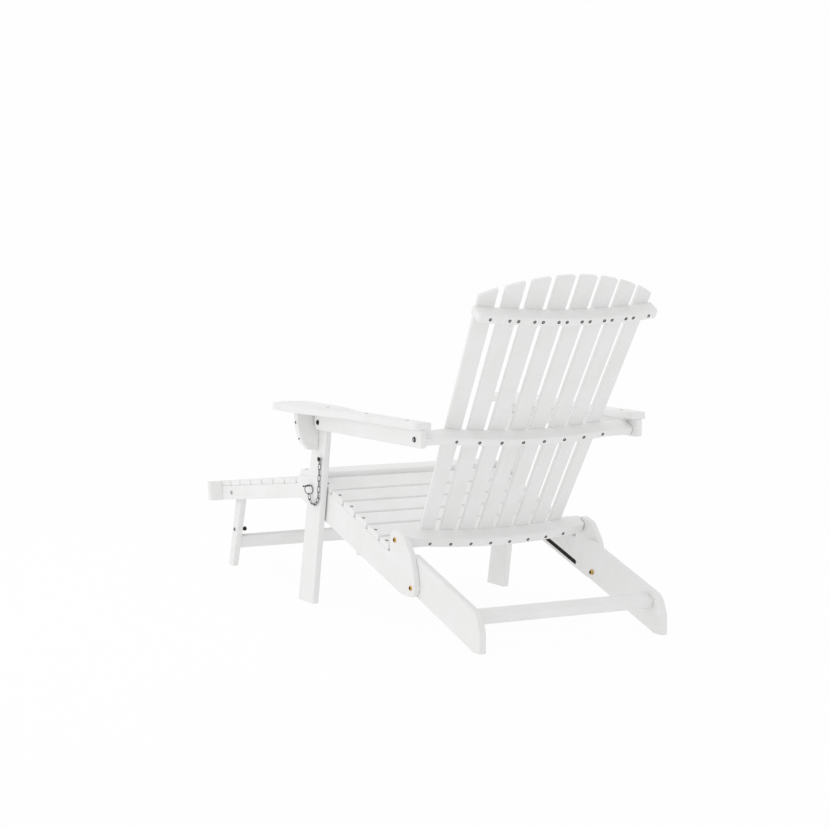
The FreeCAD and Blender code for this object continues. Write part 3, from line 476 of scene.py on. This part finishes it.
# Points of an outline that stray less than this from a short run are dropped.
OUTLINE_SLACK = 0.06 * MM
# A longer run keeps its points, unless they stray less than the next value.
LONGEST_BRIDGE = 12 * MM
IN_LINE = 0.0012 * MM
# Shorter edges that step from one run to the next are merged into one point.
TALLEST_STEP = 4 * MM
# Each board's grain lies this far from the last one's, in metres along, across and through the board.
GRAIN_STEP = (0.731, 0.417, 0.293)


def thin_out(points):
    """Drops points that all but lie on the line between their neighbours."""
    kept = list(points)
    changed = True
    while changed:
        changed = False
        i = 0
        while i < len(kept) and len(kept) > 4:
            a, p, b = kept[i - 1], kept[i], kept[(i + 1) % len(kept)]
            run = b - a
            off = abs(run.cross(p - a)) / max(run.length, 1e-9)
            if off < OUTLINE_SLACK and run.length < LONGEST_BRIDGE or off < IN_LINE:
                del kept[i]
                changed = True
            i += 1
    return kept


def merge_steps(points):
    """Joins the ends of each short edge that steps from one run to the next, such as the side of a
    shallow notch."""
    while True:
        count = len(points)
        turns = [(p - points[i - 1]).angle_signed(points[(i + 1) % count] - p) for i, p in enumerate(points)]
        steps = set()
        for i, p in enumerate(points):
            j = (i + 1) % count
            opposed = turns[i] * turns[j] < 0 and min(abs(turns[i]), abs(turns[j])) > SHARP_CORNER
            if opposed and (points[j] - p).length < TALLEST_STEP and not steps & {(i - 1) % count, j}:
                steps.add(i)
        if not steps:
            return points
        points = [0.5 * (p + points[(i + 1) % count]) if i in steps else p
                  for i, p in enumerate(points) if (i - 1) % count not in steps]


def ease_corners(points, radius, share=0.45, steps=4):
    """Rounds each sharp corner of a closed outline, over no more than a share of each edge."""
    eased = []
    for i, p in enumerate(points):
        a, b = p - points[i - 1], points[(i + 1) % len(points)] - p
        turn = a.angle_signed(b)
        if abs(turn) < SHARP_CORNER:
            eased.append(p)
            continue
        reach = min(radius * math.tan(abs(turn) / 2), share * a.length, share * b.length)
        start, end = p - a.normalized() * reach, p + b.normalized() * reach
        for k in range(steps + 1):
            t = k / steps
            eased.append(start * (1 - t) ** 2 + p * 2 * t * (1 - t) + end * t ** 2)
    return eased


def inset(points, distance, bluntest=0.35):
    """The outline moved inwards by a distance. It runs anticlockwise, and its spikes are kept blunt."""
    moved = []
    for i, p in enumerate(points):
        a = (p - points[i - 1]).normalized()
        b = (points[(i + 1) % len(points)] - p).normalized()
        na, nb = Vector((-a.y, a.x)), Vector((-b.y, b.x))
        moved.append(p + (na + nb) * (distance / max(1 + na.dot(nb), bluntest)))
    return moved


def easing(edge, steps=3):
    """Inset and depth of each ring from the flat of a board over its eased edge."""
    turns = [math.pi / 2 * k / steps for k in range(steps + 1)]
    rounded = [(edge * (1 - math.sin(t)), edge * (1 - math.cos(t))) for t in turns]
    return [(1.25 * edge, 0.0), *rounded]


def skin(rings, count):
    """The faces of a closed body made of rings of points, with a flat face at each end."""
    faces = []
    for r in range(rings - 1):
        for i in range(count):
            j = (i + 1) % count
            faces.append((r * count + i, (r + 1) * count + i, (r + 1) * count + j, r * count + j))
    last = (rings - 1) * count
    return faces + [tuple(range(count)), tuple(reversed(range(last, last + count)))]


def plane_of(ring, axis):
    """The middle of an outline, and the directions along it and across it."""
    points = np.array(ring, float)
    following = np.roll(points, -1, 0)
    lengths = np.linalg.norm(following - points, axis=1)
    halfway = 0.5 * (points + following)
    middle = np.average(halfway, axis=0, weights=lengths)
    weighed = (halfway - middle) * np.sqrt(lengths)[:, None]
    along = Vector(np.linalg.svd(weighed, full_matrices=False)[2][0])
    along = (along - axis * along.dot(axis)).normalized()
    return Vector(middle), along, axis.cross(along)


def lay_grain(mesh, node, origin, directions):
    """Notes each corner's place along, across and through the board, each board in wood of its own."""
    shift = np.array(GRAIN_STEP) * (sorted(NODES).index(node) + 1)
    spots = np.array([v.co - origin for v in mesh.vertices]) @ np.array(directions).T + shift
    mesh.attributes.new("grain", "FLOAT_VECTOR", "POINT").data.foreach_set("vector", spots.ravel())


def board(node, axis=None, corner=None, narrow=0.0, short=0.0, groove=None):
    """A sawn board with the node's outline, its corners and edges eased by hand before painting. It can be
    planed narrower at both edges, its far face can stop short of the node's, and a groove can be cut for
    another node."""
    paint = bpy.context.scene.lounge_paint
    bm = welded(node)
    axis = Vector(axis) if axis else widest_side(bm.faces)[0]
    ring = outline(bm, axis)
    heights = [v.co.dot(axis) for v in bm.verts]
    depth = max(heights) - min(heights) - short
    bm.free()
    origin, along, across = plane_of(ring, axis)
    flat = [Vector(((p - origin).dot(along), (p - origin).dot(across))) for p in ring]
    flat = merge_steps(thin_out(flat))
    planed = 1 - narrow / max(abs(p.x) for p in flat)
    flat = ease_corners([Vector((p.x * planed, p.y)) for p in flat], corner or paint.corner)
    rings = easing(paint.edge)
    rings += [(inwards, depth - down) for inwards, down in reversed(rings)]
    verts = [origin + along * p.x + across * p.y - axis * down
             for inwards, down in rings for p in inset(flat, inwards)]
    mesh = bpy.data.meshes.new(node + "_wood")
    mesh.from_pydata(verts, [], skin(len(rings), len(flat)))
    if groove:
        mesh = cut_out(mesh, hulls(groove))
    shade_smooth(mesh)
    lay_grain(mesh, node, origin, (along, across, axis))
    mesh.materials.append(finish(satin_white_enamel))
    return place(mesh, node)


def hulls(node):
    """The space that each solid of a node takes up with its hollows, drawn out past its inner face."""
    past = 1 * MM
    bm = welded(node)
    space = bmesh.new()
    for solid in islands(bm):
        corners = corners_of(solid)
        inner = abs(corners[:, 0]) < min(abs(corners[:, 0])) + WELD
        corners[inner, 0] -= np.sign(corners[inner, 0]) * past
        found = bmesh.ops.convex_hull(space, input=[space.verts.new(corner) for corner in corners])
        spare = found["geom_interior"] + found["geom_unused"]
        loose = list({v for v in spare if isinstance(v, bmesh.types.BMVert)})
        bmesh.ops.delete(space, geom=loose, context="VERTS")
    bm.free()
    mesh = bpy.data.meshes.new(node + "_space")
    space.to_mesh(mesh)
    space.free()
    return mesh


def cut_out(mesh, space):
    """The mesh with a space cut out of it."""
    name = mesh.name
    blank, tool = stand("blank", mesh), stand("tool", space)
    modifier = blank.modifiers.new("cut", "BOOLEAN")
    modifier.operation = "DIFFERENCE"
    modifier.object = tool
    made = bpy.data.meshes.new_from_object(blank.evaluated_get(bpy.context.evaluated_depsgraph_get()))
    for piece in (blank, tool):
        bpy.data.objects.remove(piece)
    for used in (mesh, space):
        bpy.data.meshes.remove(used)
    made.name = name
    return made


def shade_smooth(mesh):
    """Shades a mesh smooth between its hard edges."""
    mesh.polygons.foreach_set("use_smooth", [True] * len(mesh.polygons))
    mesh.set_sharp_from_angle(angle=HARD_EDGE)


def place(mesh, node):
    """Puts a finished mesh in the scene in the place of a node."""
    piece = stand(mesh.name, mesh)
    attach(piece, BODY_OF[node])
    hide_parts(node)
    return piece


def solid_piece(bm, node, materials):
    """Solids as one piece in the place of a node."""
    mesh = bpy.data.meshes.new(node + "_metal")
    bm.to_mesh(mesh)
    bm.free()
    shade_smooth(mesh)
    for material in materials:
        mesh.materials.append(material)
    return place(mesh, node)


# Repeated hardware

# How far a screw's head stands out of the CAD screw.
PROUD = 0.15 * MM
# The foot of a countersunk head, against its face.
COUNTERSINK = 0.6
# A bolt's shank stays this close to its axis, and a head or a nut reaches further out than the next value.
SHANK_REACH = 4.5 * MM
HEAD_REACH = 6 * MM
# Each recess is turned this much further than the last one, in radians.
SCREW_TURN = 2.4
BOLT_TURN = 1.7


def new_tree(*sizes):
    """A geometry tree with named length inputs: the tree and its inputs."""
    tree = bpy.data.node_groups.new("copies", "GeometryNodeTree")
    tree.interface.new_socket("Geometry", in_out="INPUT", socket_type="NodeSocketGeometry")
    for size in sizes:
        tree.interface.new_socket(size, in_out="INPUT", socket_type="NodeSocketFloat")
    tree.interface.new_socket("Segments", in_out="INPUT", socket_type="NodeSocketInt")
    tree.interface.new_socket("Material", in_out="INPUT", socket_type="NodeSocketMaterial")
    tree.interface.new_socket("Geometry", in_out="OUTPUT", socket_type="NodeSocketGeometry")
    return tree, add(tree, "NodeGroupInput").outputs


def close_tree(tree, given, shape):
    """Sets the shape on every point, makes the copies real and gives them their material."""
    aim = add(tree, "GeometryNodeInputNamedAttribute", {"Name": "aim"}, data_type="FLOAT_VECTOR")
    twist = add(tree, "GeometryNodeInputNamedAttribute", {"Name": "twist"}, data_type="FLOAT_VECTOR")
    scale = add(tree, "GeometryNodeInputNamedAttribute", {"Name": "scale"}, data_type="FLOAT")
    turn = add(tree, "FunctionNodeAxesToRotation", {0: aim.outputs[0], 1: twist.outputs[0]},
               primary_axis="Z", secondary_axis="X")
    instances = add(tree, "GeometryNodeInstanceOnPoints", {
        "Points": given["Geometry"], "Instance": shape,
        "Rotation": turn.outputs[0], "Scale": scale.outputs[0]})
    real = add(tree, "GeometryNodeRealizeInstances", {"Geometry": instances.outputs[0]})
    painted = add(tree, "GeometryNodeSetMaterial", {
        "Geometry": real.outputs[0], "Material": given["Material"]})
    add(tree, "NodeGroupOutput", {0: painted.outputs[0]})
    return tree


def head_with_recess(tree, given, *recesses):
    """A round head below its face, with recesses cut down from the face."""
    cone = add(tree, "GeometryNodeMeshCone", {
        "Vertices": given["Segments"], "Radius Top": given["Face radius"],
        "Radius Bottom": given["Seat radius"], "Depth": given["Head height"]})
    down = add(tree, "ShaderNodeMath", {0: given["Head height"], 1: -1.0}, operation="MULTIPLY")
    drop = add(tree, "ShaderNodeCombineXYZ", {"Z": down.outputs[0]})
    sunk = add(tree, "GeometryNodeTransform", {"Geometry": cone.outputs[0], "Translation": drop.outputs[0]})
    cut = add(tree, "GeometryNodeMeshBoolean", {"Mesh 1": sunk.outputs[0]}, operation="DIFFERENCE")
    for recess in recesses:
        tree.links.new(recess, cut.inputs["Mesh 2"])
    return cut.outputs[0]


def cross_screw_tree():
    """Countersunk screw heads with a cross recess. The two bars that cut it stand half above the face, and
    one goes a little deeper than the other, so that their floors are not in one plane."""
    span, bar_height, deeper_height = 1.15, 2.0, 2.15
    tree, given = new_tree("Face radius", "Seat radius", "Head height", "Recess width", "Recess depth")
    width = given["Recess width"]
    reach = add(tree, "ShaderNodeMath", {0: given["Face radius"], 1: span}, operation="MULTIPLY").outputs[0]
    arms = []
    for x, y, height in ((reach, width, bar_height), (width, reach, deeper_height)):
        tall = add(tree, "ShaderNodeMath", {0: given["Recess depth"], 1: height}, operation="MULTIPLY")
        box = add(tree, "ShaderNodeCombineXYZ", {"X": x, "Y": y, "Z": tall.outputs[0]})
        arms.append(add(tree, "GeometryNodeMeshCube", {"Size": box.outputs[0]}).outputs[0])
    return close_tree(tree, given, head_with_recess(tree, given, *arms))


def socket_bolt_tree():
    """Flat bolt heads with a hexagon socket."""
    tree, given = new_tree("Face radius", "Seat radius", "Head height", "Socket width", "Socket depth")
    radius = add(tree, "ShaderNodeMath", {0: given["Socket width"], 1: 0.5}, operation="MULTIPLY")
    deep = add(tree, "ShaderNodeMath", {0: given["Socket depth"], 1: 2.0}, operation="MULTIPLY")
    hexagon = add(tree, "GeometryNodeMeshCylinder", {
        "Vertices": 6, "Radius": radius.outputs[0], "Depth": deep.outputs[0]})
    return close_tree(tree, given, head_with_recess(tree, given, hexagon.outputs[0]))


def chain_link_tree():
    """Oval wire links. Each lies square to its aim, with its width along its twist."""
    tree, given = new_tree("Link length", "Link width", "Wire radius")
    thick = add(tree, "ShaderNodeMath", {0: given["Wire radius"], 1: 2.0}, operation="MULTIPLY").outputs[0]
    wide = add(tree, "ShaderNodeMath", {0: given["Link width"], 1: thick}, operation="SUBTRACT").outputs[0]
    high = add(tree, "ShaderNodeMath", {0: given["Link length"], 1: thick}, operation="SUBTRACT").outputs[0]
    box = add(tree, "GeometryNodeCurvePrimitiveQuadrilateral", {"Width": wide, "Height": high})
    bend = add(tree, "ShaderNodeMath", {0: wide, 1: 0.499}, operation="MULTIPLY").outputs[0]
    oval = add(tree, "GeometryNodeFilletCurve", {
        "Curve": box.outputs[0], "Radius": bend, "Count": 6}, mode="POLY")
    section = add(tree, "GeometryNodeCurvePrimitiveCircle", {
        "Radius": given["Wire radius"], "Resolution": 10})
    wire = add(tree, "GeometryNodeCurveToMesh", {
        "Curve": oval.outputs[0], "Profile Curve": section.outputs[0]})
    return close_tree(tree, given, wire.outputs[0])


def copies(name, spots, maker, sizes, material):
    """A plain mesh of copies of one shape. Each spot is its point, aim, twist and scale."""
    tree = made_once(bpy.data.node_groups, maker)
    points, aims, twists, scales = zip(*spots)
    mesh = bpy.data.meshes.new(name)
    mesh.from_pydata(points, [], [])
    for key, values in (("aim", aims), ("twist", twists)):
        noted = mesh.attributes.new(key, "FLOAT_VECTOR", "POINT")
        noted.data.foreach_set("vector", np.array(values, float).ravel())
    mesh.attributes.new("scale", "FLOAT", "POINT").data.foreach_set("value", scales)
    piece = stand(name, mesh)
    modifier = piece.modifiers.new("copies", "NODES")
    modifier.node_group = tree
    given = dict(sizes, Segments=bpy.context.scene.lounge_hardware.segments, Material=material)
    for item in tree.interface.items_tree:
        if item.in_out == "INPUT" and item.name in given:
            modifier[item.identifier] = given[item.name]
    evaluated = piece.evaluated_get(bpy.context.evaluated_depsgraph_get())
    made = bpy.data.meshes.new_from_object(evaluated)
    bpy.data.objects.remove(piece)
    bpy.data.meshes.remove(mesh)
    made.name = name
    shade_smooth(made)
    return made


def square_to(axis, turn):
    """A direction square to axis, turned about it."""
    helper = Vector((0, 0, 1)) if abs(axis.z) < 0.9 else Vector((1, 0, 0))
    first = axis.cross(helper).normalized()
    return first * math.cos(turn) + axis.cross(first) * math.sin(turn)


def screw_heads(node):
    """Dark screw heads on the ends of the node's screws, each with its cross turned its own way."""
    hardware = bpy.context.scene.lounge_hardware
    bm = welded(node)
    heads = []
    for solid in sorted(islands(bm), key=lambda s: tuple(corners_of(s).min(0))):
        aim, centre = widest_side(solid)
        corners = corners_of(solid)
        face = max(corners @ np.array(aim)) + PROUD
        centre += aim * (face - centre.dot(aim))
        radius = max(np.linalg.norm(np.cross(corners - np.array(centre), np.array(aim)), axis=1))
        heads.append((centre, aim, square_to(aim, SCREW_TURN * len(heads)), radius))
    bm.free()
    smallest = min(head[3] for head in heads)
    spots = [(*head[:3], head[3] / smallest) for head in heads]
    sizes = {"Face radius": hardware.screw_radius, "Seat radius": COUNTERSINK * hardware.screw_radius,
             "Head height": hardware.screw_height,
             "Recess width": hardware.recess_width, "Recess depth": hardware.recess_depth}
    mesh = copies(node + "_heads", spots, cross_screw_tree, sizes, finish(black_oxide_steel))
    return place(mesh, node)


def in_socket(point, spots, radius):
    """Whether a point lies below the face of one of the heads and inside its socket."""
    lip, deepest = 0.3 * MM, 5 * MM
    for face, aim, *_ in spots:
        off = Vector(face) - point
        down = off.dot(aim)
        if lip < down < deepest and (off - aim * down).length < radius:
            return True
    return False


def bolts(node, plain, other, above=math.inf, reach=0.0):
    """The node's bolts with socket heads. The materials are for the head, the core and the nut, and a bolt
    that has a nut or lies above a height has the other ones. The core is the inside of the socket and the
    shank, and a black core on a paler head is painted shade. The nuts can stand off by a reach."""
    hardware = bpy.context.scene.lounge_hardware
    sizes = {"Head height": hardware.bolt_height,
             "Socket width": hardware.socket_width, "Socket depth": hardware.socket_depth}
    bm = welded(node)
    spots = ([], [])
    old_heads = []
    for solid in islands(bm):
        corners = corners_of(solid)
        middle = 0.5 * (corners.min(0) + corners.max(0))
        from_axis = np.linalg.norm(corners[:, 1:] - middle[1:], axis=1)
        if max(from_axis) < HEAD_REACH:
            continue
        side = math.copysign(1, middle[0])
        outwards = side * corners[:, 0]
        outer = max(outwards)
        nut = (outwards < outer - 2 * hardware.bolt_height) & (from_axis > HEAD_REACH)
        kind = int(nut.any() or middle[2] > above)
        sizes["Face radius"] = float(max(from_axis[outwards > outer - WELD]))
        sizes["Seat radius"] = float(max(from_axis))
        aim = Vector((side, 0, 0))
        turn = BOLT_TURN * sum(map(len, spots))
        spots[kind].append(((side * outer, *middle[1:]), aim, square_to(aim, turn), 1.0))
        under_head = outer - 0.9 * hardware.bolt_height
        old_heads += [face for face in solid if any(side * v.co.x > under_head for v in face.verts)]
        for face in solid:
            # The shank takes the core material: black on the gold bolts, as painted shade at the bolt's end
            # in its nut.
            shank = all((v.co.yz - Vector(middle[1:])).length < SHANK_REACH for v in face.verts)
            face.material_index = 3 * kind + (1 if shank else 2)
        if nut.any():
            seat = max(outwards[nut]) + WELD
            for vert in verts_of(solid):
                if side * vert.co.x < seat:
                    vert.co.x -= side * reach
    bmesh.ops.delete(bm, geom=old_heads, context="FACES")
    bmesh.ops.holes_fill(bm, edges=[edge for edge in bm.edges if edge.is_boundary])
    for kind, places in enumerate(spots):
        if places:
            made = copies(node + "_heads", places, socket_bolt_tree, sizes, plain[0])
            # Faces inside a socket take the core material, which is black on the gold heads and studs:
            # painted shade in the socket.
            cores = [in_socket(p.center, places, 0.5 * hardware.socket_width) for p in made.polygons]
            made.polygons.foreach_set("material_index", [3 * kind + core for core in cores])
            bm.from_mesh(made)
            bpy.data.meshes.remove(made)
    return solid_piece(bm, node, [*plain, *other])


# Pins and chains


def pin_with_ring(side):
    """The lock pin with a slim shank, and its ring hung on it and swung round towards the back."""
    hardware = bpy.context.scene.lounge_hardware
    bm = welded("lock_pin_" + side)
    ring, shank = map(verts_of, sorted(islands(bm), key=lambda s: corners_of(s).min(0)[2]))
    middle = sum((v.co for v in shank), Vector()) / len(shank)
    slim = (1, hardware.pin_slim, hardware.pin_slim)
    bmesh.ops.scale(bm, verts=shank, vec=slim, space=Matrix.Translation(-middle))
    lowest = min((v.co for v in ring), key=lambda co: co.z).copy()
    size = (1, hardware.ring_size, hardware.ring_size)
    bmesh.ops.scale(bm, verts=ring, vec=size, space=Matrix.Translation(-lowest))
    swing = Matrix.Rotation(math.copysign(hardware.ring_swing, lowest.x), 3, "Z")
    bmesh.ops.rotate(bm, verts=ring, cent=sum((v.co for v in ring), Vector()) / len(ring), matrix=swing)
    return solid_piece(bm, "lock_pin_" + side, [finish(zinc_plate)])


def chain(side):
    """Wire links in the places of the chain's solids."""
    node, pin = "chain_" + side, "pin_" + side
    bm = welded(node)
    spots, sizes = [], []
    for link in islands(bm):
        middle, axes, extents = spread(corners_of(link))
        spots.append((middle, axes[2], axes[1], 1.0))
        sizes.append(extents)
    bm.free()
    length, width, thick = (float(size) for size in np.median(sizes, axis=0))
    given = {"Link length": length, "Link width": width, "Wire radius": thick / 2}
    mesh = copies(node + "_links", spots, chain_link_tree, given, finish(zinc_plate))
    piece = stand(mesh.name, mesh)
    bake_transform(piece)
    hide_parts(node)
    return piece


# Studio


def lay_floor(stage):
    """A wide pale floor that keeps the chair's shadow."""
    half, drop = 40.0, 0.3 * MM
    mesh = bpy.data.meshes.new("floor")
    corners = [(x, y, -drop) for x, y in ((-half, -half), (half, -half), (half, half), (-half, half))]
    mesh.from_pydata(corners, [], [(0, 1, 2, 3)])
    mesh.materials.append(studio_floor(stage))
    stand("floor", mesh)


def studio_floor(stage):
    """Matt white floor, seen mostly as plain white so that only a faint shadow stays."""
    material = bpy.data.materials.new("studio_floor")
    tree = empty_tree(material)
    matt = add(tree, "ShaderNodeBsdfDiffuse", {"Color": (*stage.floor_colour, 1)})
    white = add(tree, "ShaderNodeEmission", {"Color": (1, 1, 1, 1), "Strength": 1.0})
    share = add(tree, "ShaderNodeMapRange", {
        "Value": seen(tree), "To Min": stage.floor_glow, "To Max": stage.floor_seen})
    mixed = add(tree, "ShaderNodeMixShader", {0: share.outputs[0], 1: matt.outputs[0], 2: white.outputs[0]})
    add(tree, "ShaderNodeOutputMaterial", {"Surface": mixed.outputs[0]})
    return material


def seen(tree):
    """A socket that is 1 for what the camera sees, straight or in a reflection."""
    path = add(tree, "ShaderNodeLightPath").outputs
    mirrored = add(tree, "ShaderNodeMath", {
        0: path["Is Glossy Ray"], 1: path["Is Transmission Ray"]}, operation="MAXIMUM")
    either = add(tree, "ShaderNodeMath", {
        0: path["Is Camera Ray"], 1: mirrored.outputs[0]}, operation="MAXIMUM")
    return either.outputs[0]


def light_world(stage):
    """Even light from all round, seen as white by the camera and in metal."""
    world = bpy.data.worlds.new("studio")
    bpy.context.scene.world = world
    tree = empty_tree(world)
    strength = add(tree, "ShaderNodeMapRange", {
        "Value": seen(tree), "To Min": stage.ambient, "To Max": stage.backdrop})
    glow = add(tree, "ShaderNodeBackground", {
        "Color": (1, 1, 1, 1), "Strength": strength.outputs["Result"]})
    add(tree, "ShaderNodeOutputWorld", {"Surface": glow.outputs["Background"]})


def hang_softbox(name, spot, size, power, target):
    """A square softbox that faces a point."""
    lamp = bpy.data.lights.new(name, "AREA")
    lamp.shape = "SQUARE"
    lamp.size = size
    lamp.energy = power
    softbox = stand(name, lamp)
    softbox.location = spot
    aim = Vector(target) - softbox.location
    softbox.rotation_mode = "QUATERNION"
    softbox.rotation_quaternion = aim.to_track_quat("-Z", "Y")


def set_camera(stage):
    """The camera of the photograph, behind the chair and to the sitter's left."""
    lens = bpy.data.cameras.new("camera")
    lens.sensor_width = 36.0
    lens.lens = stage.lens
    lens.shift_x, lens.shift_y = stage.shift
    camera = stand("camera", lens)
    flat = math.cos(stage.elevation)
    back = Vector((math.sin(stage.azimuth) * flat, -math.cos(stage.azimuth) * flat,
                   math.sin(stage.elevation)))
    camera.location = Vector(stage.target) + back * stage.distance
    camera.rotation_mode = "QUATERNION"
    camera.rotation_quaternion = (-back).to_track_quat("-Z", "Y")
    bpy.context.scene.camera = camera


# Operators


class LOUNGE_OT_seat(bpy.types.Operator):
    """Seat boards, seat slats, rear legs and stretcher"""

    bl_idname = "lounge.seat"
    bl_label = "Seat frame"

    def execute(self, context):
        paint = context.scene.lounge_paint
        for side in SIDES:
            board("seat_board_" + side, groove="slide_channels")
            board("rear_leg_" + side)
        for number in range(1, 8):
            board("seat_slat_%d" % number, axis=(1, 0, 0), corner=paint.slat_corner,
                  narrow=paint.slat_narrow if number > 1 else 0.0)
        board("rear_stretcher", axis=(1, 0, 0))
        return {"FINISHED"}


class LOUNGE_OT_back(bpy.types.Operator):
    """Back slats and the three curved rails"""

    bl_idname = "lounge.back"
    bl_label = "Back"

    def execute(self, context):
        for number in range(1, 9):
            board("back_slat_%d" % number)
        for rail in ("top_rail", "middle_rail", "bottom_rail"):
            board(rail)
        return {"FINISHED"}


class LOUNGE_OT_arms(bpy.types.Operator):
    """Arm boards and the rails under them"""

    bl_idname = "lounge.arms"
    bl_label = "Arms"

    def execute(self, context):
        for side in SIDES:
            board("arm_" + side, axis=(0, 0, 1))
            board("arm_rail_" + side)
        return {"FINISHED"}


class LOUNGE_OT_front_legs(bpy.types.Operator):
    """Front legs and corbels"""

    bl_idname = "lounge.front_legs"
    bl_label = "Front legs"

    def execute(self, context):
        clearance = context.scene.lounge_paint.clearance
        for side, outwards in zip(SIDES, (1, -1)):
            board("front_leg_" + side, axis=(outwards, 0, 0), short=clearance)
            board("corbel_" + side)
        return {"FINISHED"}


class LOUNGE_OT_footrest(bpy.types.Operator):
    """Footrest rails, slats, front board and folding legs"""

    bl_idname = "lounge.footrest"
    bl_label = "Footrest"

    def execute(self, context):
        for side in SIDES:
            board("footrest_rail_" + side)
            board("footrest_leg_" + side)
        for number in range(1, 9):
            board("footrest_slat_%d" % number, axis=(1, 0, 0))
        board("footrest_front", axis=(1, 0, 0))
        board("footrest_leg_bar", axis=(1, 0, 0))
        return {"FINISHED"}


class LOUNGE_OT_screws(bpy.types.Operator):
    """Cross-recessed screws of every group"""

    bl_idname = "lounge.screws"
    bl_label = "Screws"

    def execute(self, context):
        for node in ("seat_screws", "back_screws", "arm_screws", "leg_screws", "footrest_screws"):
            screw_heads(node)
        return {"FINISHED"}


class LOUNGE_OT_bolts(bpy.types.Operator):
    """Pivot bolts, rear leg bolts and the studs of the footrest's legs"""

    bl_idname = "lounge.bolts"
    bl_label = "Bolts"

    def execute(self, context):
        black, gold, bright = finish(black_oxide_steel), finish(yellow_zinc_plate), finish(bright_zinc_plate)
        # The gold bolts and the footrest studs get a black core: painted shade in the sockets and at the bolt
        # ends in the nuts.
        gold_with_painted_shade_core, dark = (gold, black, gold), (black, black, black)
        seat_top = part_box("seat_board_left")[1][2]
        bolts("back_pivot_bolts", gold_with_painted_shade_core, (black, bright, black), above=seat_top)
        bolts("rear_leg_fixings", dark, gold_with_painted_shade_core)
        bolts("arm_pivot_bolts", gold_with_painted_shade_core, dark)
        bolts("footrest_leg_bolts", (bright, bright, bright), (bright, black, black),
              reach=context.scene.lounge_hardware.stud_reach)
        return {"FINISHED"}


class LOUNGE_OT_pins(bpy.types.Operator):
    """Lock pins with their rings and chains"""

    bl_idname = "lounge.pins"
    bl_label = "Pins and chains"

    def execute(self, context):
        for side in SIDES:
            pin_with_ring(side)
            chain(side)
        return {"FINISHED"}


class LOUNGE_OT_slides(bpy.types.Operator):
    """Footrest axle and the channels it runs in"""

    bl_idname = "lounge.slides"
    bl_label = "Axle and channels"

    def execute(self, context):
        solid_piece(welded("footrest_axle"), "footrest_axle", [finish(zinc_plate)])
        solid_piece(welded("slide_channels"), "slide_channels", [finish(dark_nylon)])
        return {"FINISHED"}


class LOUNGE_OT_stage(bpy.types.Operator):
    """Floor, soft lamps and the camera"""

    bl_idname = "lounge.stage"
    bl_label = "Studio"

    def execute(self, context):
        stage = context.scene.lounge_stage
        context.scene.view_settings.view_transform = "Standard"
        lay_floor(stage)
        light_world(stage)
        hang_softbox("top_softbox", stage.top_place, stage.top_size, stage.top_power, stage.lamp_target)
        hang_softbox("side_softbox", stage.side_place, stage.side_size, stage.side_power, stage.lamp_target)
        set_camera(stage)
        return {"FINISHED"}


# Panel


class LOUNGE_PT_panel(bpy.types.Panel):
    """Sidebar list of the pieces and the studio"""

    bl_idname = "LOUNGE_PT_panel"
    bl_label = "Lounge chair"
    bl_space_type = "VIEW_3D"
    bl_region_type = "UI"
    bl_category = "Lounge chair"

    def draw(self, context):
        for group in GROUPS:
            settings = getattr(context.scene, group)
            box = self.layout.box()
            for name in settings.__annotations__:
                box.prop(settings, name)
        for operator in OPERATORS:
            self.layout.operator(operator.bl_idname)


GROUPS = {"lounge_paint": PaintSettings, "lounge_hardware": HardwareSettings, "lounge_stage": StageSettings}
OPERATORS = (LOUNGE_OT_seat, LOUNGE_OT_back, LOUNGE_OT_arms, LOUNGE_OT_front_legs, LOUNGE_OT_footrest,
             LOUNGE_OT_screws, LOUNGE_OT_bolts, LOUNGE_OT_pins, LOUNGE_OT_slides, LOUNGE_OT_stage)


def register():
    for name, group in GROUPS.items():
        bpy.utils.register_class(group)
        setattr(bpy.types.Scene, name, PointerProperty(type=group))
    for cls in (*OPERATORS, LOUNGE_PT_panel):
        bpy.utils.register_class(cls)


def unregister():
    for cls in reversed((*OPERATORS, LOUNGE_PT_panel)):
        bpy.utils.unregister_class(cls)
    for name, group in GROUPS.items():
        delattr(bpy.types.Scene, name)
        bpy.utils.unregister_class(group)


def main():
    register()
    for operator in OPERATORS:
        getattr(bpy.ops.lounge, operator.bl_idname.split(".")[1])()


if __name__ == "__main__":
    main()
